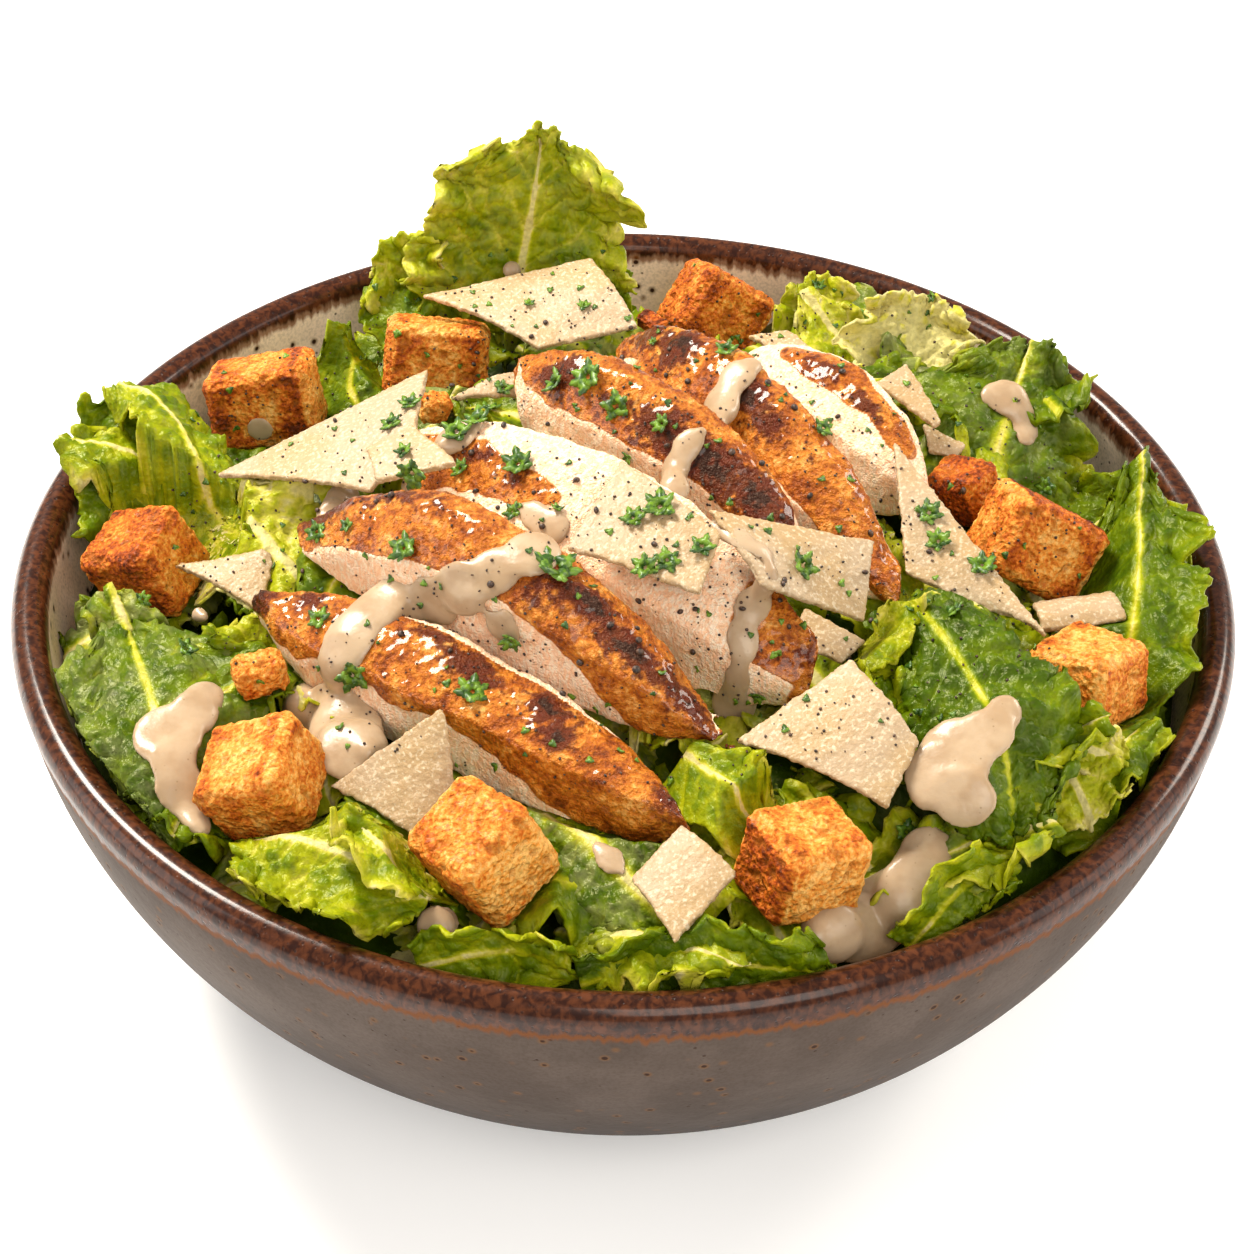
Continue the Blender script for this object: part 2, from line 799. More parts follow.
@dataclass
class Bowl:
    """The stoneware bowl, turned from its section."""

    foot_radius: float = 50.0
    foot_height: float = 1.5
    recess_radius: float = 43.0
    recess_depth: float = 2.5
    wall: float = 6.5
    floor: float = 7.5
    body_top: float = 79.0
    swell: float = 1.46
    uprightness: float = 2.28
    crowding: float = 1.6
    groove: float = 0.9
    lip_round: float = 4.0
    rings: int = 36
    turns: int = 224
    rim: float = field(init=False)
    height: float = field(init=False)

    def __post_init__(self) -> None:
        """Take the overall size from the CAD bowl."""
        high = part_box("bowl")[1]
        self.rim = high.x / MM
        self.height = high.z / MM

    @property
    def body_radius(self) -> float:
        """Outer radius under the lip."""
        return self.rim - self.groove

    @property
    def floor_radius(self) -> float:
        """Radius of the flat floor inside."""
        return self.foot_radius - self.wall

    @property
    def inner_radius(self) -> float:
        """Inner radius under the lip."""
        return self.body_radius - self.wall

    def spread(self, rise: float) -> float:
        """How far the wall has spread at a share of its rise."""
        rise = min(max(rise, 0.0), 1.0)
        return (1.0 - (1.0 - rise) ** self.swell) ** (1.0 / self.uprightness)

    def inside(self, z: float) -> float:
        """Inner radius at a height."""
        rise = (z - self.floor) / (self.body_top - self.floor)
        return self.floor_radius + (self.inner_radius - self.floor_radius) * self.spread(rise)

    def outside(self, z: float) -> float:
        """Outer radius at a height."""
        return self.foot_radius + (self.body_radius - self.foot_radius) * self.spread(z / self.body_top)

    def section(self) -> list[tuple[float, float]]:
        """Radius and height round the wall, from the floor's middle to the foot's.

        Returns:
            Pairs of radius and height.
        """
        points = [(0.0, self.floor), (0.6 * self.floor_radius, self.floor), (self.floor_radius, self.floor)]
        for ring in range(1, self.rings + 1):
            rise = (ring / self.rings) ** self.crowding
            z = self.floor + (self.body_top - self.floor) * rise
            points.append((self.inside(z), z))
        middle = (self.inner_radius + self.rim) / 2
        half = (self.rim - self.inner_radius) / 2
        for ring in range(self.rings // 2 + 1):
            a = math.pi * (1.0 - 2.0 * ring / self.rings)
            lift = self.lip_round * math.sin(a)
            points.append((middle + half * math.cos(a), self.height - self.lip_round + lift))
        for ring in range(1, self.rings):
            down = ring / self.rings
            z = self.body_top * (1.0 - down) ** self.crowding + self.foot_height * down
            points.append((self.outside(z), z))
        points += [(self.foot_radius + 1.0, self.foot_height), (self.foot_radius + 0.2, 0.3),
                   (self.foot_radius - 0.6, 0.0), (self.recess_radius, 0.0),
                   (self.recess_radius - 1.5, self.recess_depth), (0.0, self.recess_depth)]
        return points

    def build(self) -> bpy.types.Object:
        """Turn the section.

        Returns:
            The bowl.
        """
        bm = bmesh.new()
        verts = [bm.verts.new((r, 0.0, z)) for r, z in self.section()]
        edges = [bm.edges.new(pair) for pair in zip(verts, verts[1:])]
        bmesh.ops.spin(bm, geom=verts + edges, cent=(0.0, 0.0, 0.0), axis=UP, dvec=(0.0, 0.0, 0.0),
                       angle=FULL_TURN, steps=self.turns, use_merge=True)
        bmesh.ops.remove_doubles(bm, verts=bm.verts, dist=0.001)
        bmesh.ops.recalc_face_normals(bm, faces=bm.faces)
        inside = bm.verts.layers.float.new("inside")
        for vert in bm.verts:
            out = math.hypot(vert.co.x, vert.co.y)
            middle = 0.5 * (self.inside(vert.co.z) + self.outside(vert.co.z))
            vert[inside] = float(vert.co.z > self.floor - 0.5 and out < middle)
        bowl = make_object("stoneware_bowl", bm, Stoneware().make())
        settle(bowl, ["bowl"])
        return bowl

    def hold(self, point: Vector, gap: float = 0.7) -> Vector:
        """Keep a point inside the bowl's wall.

        Args:
            point: the point in millimetres.
            gap: how far it stays off the wall.

        Returns:
            The point, moved in if it was too far out.
        """
        reach = self.inside(min(point.z, self.body_top)) - gap
        if point.z > self.body_top:
            reach = min(self.rim + 2.0, reach + 0.55 * max(0.0, point.z - self.height - 1.0))
        out = math.hypot(point.x, point.y)
        if out > reach:
            point = Vector((point.x * reach / out, point.y * reach / out, point.z))
        return point


# ---- what lies over the greens ----

@dataclass
class Ceiling:
    """The lowest underside of the toppings over each place, eased out at their edges."""

    step: float = 1.5
    half: int = 84
    slope: float = 1.1
    reach: int = 6
    clearance: float = 0.7
    open_height: float = 1000.0
    heights: np.ndarray = field(init=False)

    def __post_init__(self) -> None:
        """Probe the toppings from below."""
        names = [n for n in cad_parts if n.split("_")[0] in ("chicken", "crouton", "shaving")]
        tree = tree_of([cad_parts[n] for n in sorted(names)])
        side = 2 * self.half + 1
        raw = np.full((side, side), self.open_height)
        for i in range(side):
            for j in range(side):
                foot = Vector(((i - self.half) * self.step, (j - self.half) * self.step, 0.0))
                hit = tree.ray_cast(foot, UP)[0]
                if hit is not None:
                    raw[i, j] = hit.z
        eased = raw.copy()
        for di in range(-self.reach, self.reach + 1):
            for dj in range(-self.reach, self.reach + 1):
                far = math.hypot(di, dj)
                if 0.0 < far <= self.reach:
                    near = np.roll(np.roll(raw, di, 0), dj, 1)
                    eased = np.minimum(eased, near + self.slope * self.step * far)
        self.heights = eased - self.clearance

    def over(self, x: float, y: float) -> float:
        """Height that leaves may reach at a place.

        Args:
            x: across the bowl.
            y: front to back.

        Returns:
            The height in millimetres.
        """
        i = min(max(x / self.step + self.half, 0.0), 2.0 * self.half - 0.001)
        j = min(max(y / self.step + self.half, 0.0), 2.0 * self.half - 0.001)
        a, b = int(i), int(j)
        u, v = i - a, j - b
        grid = self.heights
        return float((grid[a, b] * (1 - u) + grid[a + 1, b] * u) * (1 - v)
                     + (grid[a, b + 1] * (1 - u) + grid[a + 1, b + 1] * u) * v)


# ---- leaves ----

@dataclass
class Leaf:
    """A torn piece of romaine between its spine and two frilly sides.

    The spine runs from its foot to its tip, half widths are given along it, and side is the way to
    its right edge. A curl over 0 lifts the edges, under 0 lowers them. Ruffle is the height of the
    edges' waves, film how much dressing clings to it, rib the rib's strength, cell the mesh's spacing
    and blister the height of the bumps between its veins. A pressed leaf stays under the toppings.
    """

    name: str
    spine: tuple[Triple, ...]
    widths: tuple[float, ...]
    side: Triple
    tone: float = 0.5
    curl: float = 0.5
    ruffle: float = 2.6
    waves: float = 2.5
    film: float = 0.0
    rib: float = 1.0
    pressed: bool = True
    cell: float = 0.8
    blister: float = 1.15
    seed: int = 1
    vein_gap: float = 8.5
    bubble: float = 3.2

    def along(self, t: float) -> tuple[Vector, Vector, float]:
        """Place, direction and half width at a share of the spine.

        Args:
            t: the share of the spine, from its foot.

        Returns:
            The place, the direction and the half width.
        """
        last = len(self.spine) - 1
        at = min(max(t, 0.0), 1.0) * last
        i = min(int(at), last - 1)
        u = at - i
        knots = [Vector(self.spine[min(max(k, 0), last)]) for k in (i - 1, i, i + 1, i + 2)]
        if i == 0:
            knots[0] = 2.0 * knots[1] - knots[2]
        if i == last - 1:
            knots[3] = 2.0 * knots[2] - knots[1]
        a, b, c, d = knots
        place = 0.5 * (2.0 * b + (c - a) * u + (2.0 * a - 5.0 * b + 4.0 * c - d) * u * u
                       + (3.0 * b - a - 3.0 * c + d) * u ** 3)
        way = 0.5 * ((c - a) + 2.0 * (2.0 * a - 5.0 * b + 4.0 * c - d) * u
                     + 3.0 * (3.0 * b - a - 3.0 * c + d) * u * u)
        ease = u * u * (3.0 - 2.0 * u)
        width = self.widths[i] * (1.0 - ease) + self.widths[i + 1] * ease
        if t > 1.0:
            place = place + way.normalized() * (t - 1.0) * self.length()
        return place, way.normalized(), width

    def length(self) -> float:
        """Length of the spine, straight from knot to knot."""
        return sum((Vector(b) - Vector(a)).length for a, b in zip(self.spine, self.spine[1:]))

    def point(self, s: float, t: float) -> Vector:
        """Where a place on the sheet lies, before its relief: s across, t along.

        Args:
            s: across the sheet, from -1 to 1.
            t: along it, from 0 to 1.

        Returns:
            The place in millimetres.
        """
        seed = self.seed * 7.31
        long = self.length()
        right = float(s > 0.0)
        jag = 0.42 * noise.noise((t * long / 8.5, seed, 3.0 * right))
        jag += 0.16 * noise.noise((t * long / 2.4, seed + 5.0, 3.0 * right))
        tip = 0.09 * noise.noise((s * 2.6, seed, 9.0)) + 0.05 * noise.noise((s * 8.0, seed, 4.0))
        reach = t * (1.0 - 0.16 * s * s * t + tip * t)
        place, way, width = self.along(reach)
        side = Vector(self.side)
        side = (side - side.dot(way) * way).normalized()
        up = side.cross(way)
        if up.dot(UP_AND_FORWARD) < 0.0:
            up = -up
        out = width * (1.0 + jag * abs(s)) * s
        if abs(self.curl) > 0.01:
            turn = self.curl * abs(s)
            span = width / abs(self.curl)
            across = math.copysign(span * math.sin(abs(turn)), out) * (1.0 + jag * abs(s))
            lift = math.copysign(span * (1.0 - math.cos(turn)), self.curl)
        else:
            across, lift = out, 0.0
        sway = 1.8 * noise.noise((t * long / 11.0, right, seed))
        wave = math.sin(FULL_TURN * self.waves * t + seed + 2.2 * right + sway)
        frill = 1.9 * noise.noise((t * long / 3.4, 5.0 * right, seed + 2.0))
        crimp = 1.9 * noise.noise((t * long / 1.7, 5.0 * right, seed + 8.0))
        edge = abs(s)
        lift += self.ruffle * (wave * edge ** 2 + 0.85 * frill * edge ** 3 + 0.34 * crimp * edge ** 5)
        ends = math.sin(6.0 * s + seed) + 0.7 * math.sin(13.0 * s + 2.0 * seed)
        lift += 0.45 * self.ruffle * t ** 4 * ends
        lift += 2.2 * noise.noise((s * width / 12.0, t * long / 12.0, seed))
        return place + across * side + lift * up

    def build(self, bowl: Bowl, ceiling: Ceiling) -> bmesh.types.BMesh:
        """Model the sheet.

        Args:
            bowl: the bowl it stays in.
            ceiling: what it stays under when it is pressed.

        Returns:
            Its mesh in millimetres, with the marks vein, tone and film.
        """
        wide = 2.0 * max(self.widths)
        long = self.length()
        bm = bmesh.new()
        bmesh.ops.create_grid(bm, x_segments=max(8, round(wide / self.cell)),
                              y_segments=max(8, round(long / self.cell)), size=1.0)
        marks = {name: bm.verts.layers.float.new(name) for name in ("vein", "tone", "film")}
        sheet = [(v.co.x, 0.5 * (v.co.y + 1.0)) for v in bm.verts]
        for vert, (s, t) in zip(bm.verts, sheet):
            vert.co = self.point(s, t)
        bmesh.ops.recalc_face_normals(bm, faces=bm.faces)
        bm.normal_update()
        if sum(v.normal.dot(UP_AND_FORWARD) for v in bm.verts) < 0.0:
            bmesh.ops.reverse_faces(bm, faces=bm.faces)
            bm.normal_update()
        normals = [v.normal.copy() for v in bm.verts]
        for vert, (s, t), normal in zip(bm.verts, sheet, normals):
            x, y = s * max(self.widths), t * long
            vein, dome, rib = self.relief(x, y, s, t)
            vert.co += normal * (self.blister * dome * min(1.0, 3.0 * (1.0 - 0.75 * abs(s))) + 1.1 * rib)
            vert[marks["vein"]] = vein
            edge = 0.20 * abs(s) ** 4 - 0.10 * (1.0 - t)
            vert[marks["tone"]] = min(1.0, self.tone + edge + 0.42 * rib + 0.06 * dome)
            vert[marks["film"]] = self.film
            if self.pressed:
                vert.co.z = min(vert.co.z, ceiling.over(vert.co.x, vert.co.y))
            vert.co = bowl.hold(vert.co)
        return bm

    def relief(self, x: float, y: float, s: float, t: float) -> tuple[float, float, float]:
        """Vein, blister and rib strengths at a place on the flat sheet.

        Args:
            x: across the flat sheet, in millimetres.
            y: along it, in millimetres.
            s: across it, from -1 to 1.
            t: along it, from 0 to 1.

        Returns:
            The vein, the blister and the rib, each from 0 to 1.
        """
        seed = self.seed * 3.77
        bend = 2.2 * noise.noise((x / 9.0, y / 9.0, seed))
        slant = (y - 0.9 * abs(x) + bend) / self.vein_gap
        line = abs(slant - round(slant)) * self.vein_gap
        side_vein = max(0.0, 1.0 - line / 0.9) * min(1.0, 1.6 - abs(s))
        near, _ = noise.voronoi((x / self.bubble + 0.25 * bend + seed, y / self.bubble, seed))
        inner = min(1.0, 2.6 * (near[1] - near[0]))
        thin = max(0.0, 1.0 - 3.4 * (near[1] - near[0]))
        half = self.rib * (2.6 - 1.9 * t)
        rib = math.exp(-(x / max(half, 0.3)) ** 2) if self.rib > 0.0 else 0.0
        dome = (1.0 - (1.0 - inner) ** 2) * (1.0 - side_vein) * (1.0 - rib)
        return min(1.0, max(side_vein, 0.62 * thin, rib)), dome, rib


def leaf_object(name: str, leaves: Sequence[Leaf], bowl: Bowl, ceiling: Ceiling,
                material: bpy.types.Material, thickness: float = 0.55) -> bpy.types.Object:
    """Join several leaves into one piece.

    Args:
        name: the piece's name.
        leaves: the leaves in it.
        bowl: the bowl they stay in.
        ceiling: what they stay under.
        material: their finish.
        thickness: of each leaf.

    Returns:
        The piece, with its thickness applied.
    """
    joined = bmesh.new()
    for leaf in leaves:
        sheet = leaf.build(bowl, ceiling)
        single = bpy.data.meshes.new("sheet")
        sheet.to_mesh(single)
        sheet.free()
        joined.from_mesh(single)
        bpy.data.meshes.remove(single)
    piece = make_object(name, joined, material)
    shell = piece.modifiers.new("thickness", "SOLIDIFY")
    shell.thickness = thickness * MM
    shell.offset = -1.0
    bpy.context.view_layer.update()
    whole = bpy.data.meshes.new_from_object(piece.evaluated_get(bpy.context.evaluated_depsgraph_get()))
    piece.modifiers.clear()
    piece.data = whole
    whole.name = name
    return piece


@dataclass
class Greens:
    """The heap of romaine: a dark core, the leaves that show, and others that fill between them."""

    bowl: Bowl
    ceiling: Ceiling
    core_drop: float = 7.0
    fillers: int = 96
    filled: float = 110.0
    probe: float = 300.0
    seed: int = 11
    leaves: tuple[Leaf, ...] = (
        Leaf("tall", ((-26, 81, 86), (-25, 88, 99), (-22, 91, 117), (-20, 95, 132)), (23, 26, 23, 9),
             (1.0, -0.06, -0.05), 0.59, 0.35, 3.4, 3.0, 0.12, 0.55, False, 0.7, 1.3, 3),
        Leaf("tall_lobe", ((-38, 81, 88), (-48, 88, 94), (-55, 93, 103)), (9, 13, 8), (0.96, -0.14, 0.23),
             0.62, 0.6, 2.6, 2.0, 0.0, 0.0, False, 0.75, 1.0, 5),
        Leaf("tall_low", ((-22, 80, 88), (-11, 86, 93), (-1, 88, 99)), (9, 12, 7), (0.39, 0.29, 0.87),
             0.36, 0.4, 2.0, 2.0, 0.0, 0.0, False, 0.75, 1.0, 6),
        Leaf("tall_left_low", ((-50, 78, 87), (-55, 85, 90), (-58, 89, 95)), (8, 8, 5),
             (-0.93, -0.24, -0.29), 0.42, 0.4, 2.0, 2.0, 0.0, 0.0, True, 0.75, 1.0, 7),
        Leaf("dark_back", ((-59, 50, 84), (-62, 58, 90), (-60, 69, 95)), (8, 10, 6), (0.96, 0.28, 0.0),
             0.34, 0.3, 2.0, 2.0, 0.0, 0.4, True, 0.75, 1.1, 8),
        Leaf("pale_back", ((40, 73, 86), (42, 82, 93), (43, 89, 99)), (9, 11, 7), (0.99, 0.12, -0.11),
             0.70, 0.5, 2.4, 2.5, 0.0, 0.5, True, 0.75, 1.0, 9),
        Leaf("yellow_back", ((62, 54, 86), (63, 68, 94), (65, 76, 103)), (12, 16, 9), (1.0, -0.07, -0.07),
             0.98, 0.6, 3.2, 2.5, 0.0, 0.6, True, 0.75, 1.1, 10),
        Leaf("dark_right_back", ((75, 18, 88), (82, 40, 96), (89, 57, 104)), (17, 20, 8),
             (0.96, -0.14, -0.24), 0.30, -0.5, 3.0, 3.0, 0.1, 1.0, True, 0.8, 1.2, 12),
        Leaf("dark_right", ((92, -48, 88), (100, -28, 93), (104, -4, 97), (106, 17, 101)), (10, 13, 13, 7),
             (0.88, 0.47, -0.07), 0.29, 0.5, 3.2, 3.5, 0.0, 0.6, True, 0.8, 1.1, 13),
        Leaf("left_base", ((-105, 8, 82), (-108, 24, 91), (-107, 39, 99)), (9, 11, 8), (0.98, 0.17, 0.09),
             0.32, 0.3, 2.2, 2.0, 0.0, 0.5, True, 0.8, 1.1, 14),
        Leaf("left_flap", ((-109, 38, 101), (-98, 28, 102), (-87, 12, 98), (-76, -4, 92)), (6, 10, 11, 9),
             (0.17, 0.97, -0.14), 0.54, -0.7, 2.4, 2.5, 0.0, 0.4, True, 0.75, 1.0, 15),
        Leaf("left_light", ((-63, -17, 88), (-75, -3, 94), (-86, 9, 97)), (12, 14, 9), (0.20, -0.93, -0.29),
             0.76, 0.5, 3.0, 2.5, 0.0, 0.6, True, 0.75, 1.0, 16),
        Leaf("left_dressed", ((-78, -82, 83), (-83, -70, 90), (-90, -51, 93), (-99, -27, 90)),
             (8, 17, 22, 12), (0.90, 0.43, 0.0), 0.28, -0.5, 3.0, 2.5, 0.16, 0.8, True, 0.8, 1.3, 17),
        Leaf("front_frill", ((-33, -101, 90), (-46, -94, 92), (-59, -88, 91), (-70, -84, 86)),
             (10, 15, 15, 8), (-0.12, -0.88, -0.47), 0.58, 0.7, 3.6, 3.0, 0.0, 0.5, True, 0.75, 1.1, 18),
        Leaf("front_frill_up", ((-33, -100, 92), (-42, -94, 95), (-48, -85, 96)), (8, 9, 6),
             (0.83, 0.54, -0.16), 0.62, 0.6, 2.6, 2.0, 0.0, 0.4, True, 0.75, 1.0, 19),
        Leaf("front_edge_left", ((-35, -109, 82), (-21, -109, 86), (-7, -109, 82)), (6, 8, 6),
             (-0.04, -0.26, -0.96), 0.46, 0.5, 2.4, 3.0, 0.0, 0.3, True, 0.75, 1.0, 20),
        Leaf("front_edge", ((-6, -110, 80), (11, -110, 86), (26, -111, 86), (38, -108, 83)), (7, 10, 9, 5),
             (-0.01, -0.26, -0.97), 0.29, 0.6, 2.8, 3.5, 0.0, 0.5, True, 0.75, 1.1, 21),
        Leaf("front_dark", ((-17, -69, 92), (-8, -82, 91), (2, -95, 89), (12, -105, 85)), (9, 14, 14, 8),
             (-0.59, -0.70, -0.40), 0.33, -0.4, 2.6, 2.5, 0.26, 1.3, True, 0.75, 1.2, 22),
        Leaf("front_small", ((12, -69, 97), (21, -80, 98), (31, -82, 96)), (6, 9, 6), (-0.54, -0.79, -0.28),
             0.54, 0.6, 2.8, 2.5, 0.0, 0.4, True, 0.75, 1.1, 23),
        Leaf("arch", ((55, -30, 103), (63, -54, 107), (69, -73, 104), (71, -87, 92)), (10, 17, 17, 12),
             (-0.66, -0.68, -0.33), 0.25, -0.7, 2.6, 2.5, 0.0, 0.5, True, 0.75, 1.4, 24),
        Leaf("arch_far", ((55, -30, 104), (68, -37, 104), (79, -59, 98), (80, -73, 88)), (5, 9, 9, 6),
             (0.74, 0.61, -0.29), 0.40, -0.6, 2.0, 3.0, 0.1, 0.3, True, 0.75, 1.2, 25),
        Leaf("arch_frill", ((46, -50, 101), (51, -42, 104), (54, -32, 107)), (4, 5, 4),
             (-0.90, -0.38, -0.23), 0.60, 0.5, 1.8, 2.0, 0.0, 0.0, True, 0.6, 0.7, 26),
        Leaf("arch_front", ((71, -79, 92), (63, -87, 92), (54, -88, 88)), (8, 9, 6), (0.11, -0.83, -0.54),
             0.50, -0.4, 2.4, 2.0, 0.2, 0.4, True, 0.75, 1.0, 27),
        Leaf("curl_front", ((52, -101, 80), (60, -96, 89), (72, -88, 88)), (6, 8, 6), (0.54, -0.24, -0.80),
             0.44, 0.7, 2.6, 2.5, 0.0, 0.3, True, 0.75, 1.0, 28),
        Leaf("pale_right", ((76, -49, 92), (83, -65, 91), (88, -76, 87)), (8, 11, 8), (-0.72, -0.65, -0.26),
             0.70, -0.4, 2.4, 2.5, 0.0, 0.6, True, 0.75, 1.0, 29),
        Leaf("right_flap", ((80, -58, 93), (89, -62, 92), (96, -62, 90)), (4, 6, 4), (-0.24, -0.75, -0.62),
             0.74, 0.4, 1.6, 2.0, 0.0, 0.4, True, 0.7, 0.8, 30),
    )

    def build(self) -> list[bpy.types.Object]:
        """Make the greens.

        Returns:
            The pieces, with the core last.
        """
        finish = LeafGreen().make()
        tall = leaf_object("romaine_tall_leaf", self.leaves[:4], self.bowl, self.ceiling, finish)
        settle(tall, ["romaine_leaf_tall"])
        core = self.core(finish)
        back = leaf_object("romaine_leaves_back", self.leaves[4:13], self.bowl, self.ceiling, finish)
        front = leaf_object("romaine_leaves_front", self.leaves[13:], self.bowl, self.ceiling, finish)
        spread = self.filling(tree_of([core]))
        half = len(spread) // 2
        under = leaf_object("romaine_leaves_under_left", spread[:half], self.bowl, self.ceiling, finish)
        more = leaf_object("romaine_leaves_under_right", spread[half:], self.bowl, self.ceiling, finish)
        pieces = [tall, back, front, under, more, core]
        for piece in pieces[1:]:
            settle(piece, ["romaine_heap"])
        return pieces

    def core(self, finish: bpy.types.Material) -> bpy.types.Object:
        """The dark mass under the leaves: the CAD heap, sunk and crumpled.

        Args:
            finish: the leaves' finish.

        Returns:
            The core.
        """
        bm = node_mesh("romaine_heap")
        bmesh.ops.subdivide_edges(bm, edges=bm.edges, cuts=1, use_grid_fill=True)
        bmesh.ops.scale(bm, vec=(0.985, 0.985, 1.0), verts=bm.verts)
        for vert in bm.verts:
            lift = 2.2 * noise.noise(vert.co / 7.0)
            if vert.co.z > self.bowl.floor + self.core_drop:
                vert.co.z += lift - self.core_drop
        marks = {name: bm.verts.layers.float.new(name) for name in ("vein", "tone", "film")}
        for vert in bm.verts:
            vert[marks["tone"]] = 0.10 + 0.10 * noise.noise(vert.co / 11.0)
        return make_object("romaine_core", bm, finish)

    def filling(self, heap: BVHTree) -> list[Leaf]:
        """Leaves that fill the heap's surface between the ones that are placed.

        Args:
            heap: the core's faces.

        Returns:
            The leaves.
        """
        draw = random.Random(self.seed)
        found = []
        for i in range(self.fillers):
            out = self.filled * math.sqrt((i + 0.7) / self.fillers)
            a = i * GOLDEN_ANGLE
            hit = heap.ray_cast(Vector((out * math.cos(a), out * math.sin(a), self.probe)), -UP)[0]
            if hit is None:
                continue
            tilt = math.radians(draw.uniform(8.0, 34.0))
            turn = draw.uniform(0.0, FULL_TURN)
            way = Vector((math.cos(turn) * math.cos(tilt), math.sin(turn) * math.cos(tilt), math.sin(tilt)))
            side = way.cross(UP).normalized()
            long = draw.uniform(26.0, 40.0)
            middle = hit + UP * draw.uniform(4.5, 9.0)
            bend = UP * draw.uniform(-5.0, 5.0)
            half = 0.5 * long * way
            spine = tuple(tuple(p) for p in (middle - half, middle + bend, middle + half))
            wide = draw.uniform(9.0, 14.0)
            found.append(Leaf(f"fill_{i}", spine, (0.7 * wide, wide, 0.6 * wide), tuple(side),
                              draw.choice((0.30, 0.38, 0.46, 0.54, 0.66)), draw.uniform(-0.8, 0.9),
                              draw.uniform(2.0, 3.6), draw.uniform(2.0, 3.5), 0.35 * (draw.random() < 0.3),
                              draw.uniform(0.3, 1.1), True, 1.0, 1.1, 40 + i))
        return found


# ---- chicken ----

@dataclass(frozen=True)
class Spot:
    """A patch on a slice: along and across it from -1 to 1, its half sizes and its strength."""

    u: float
    v: float
    long: float
    wide: float
    strength: float = 1.0


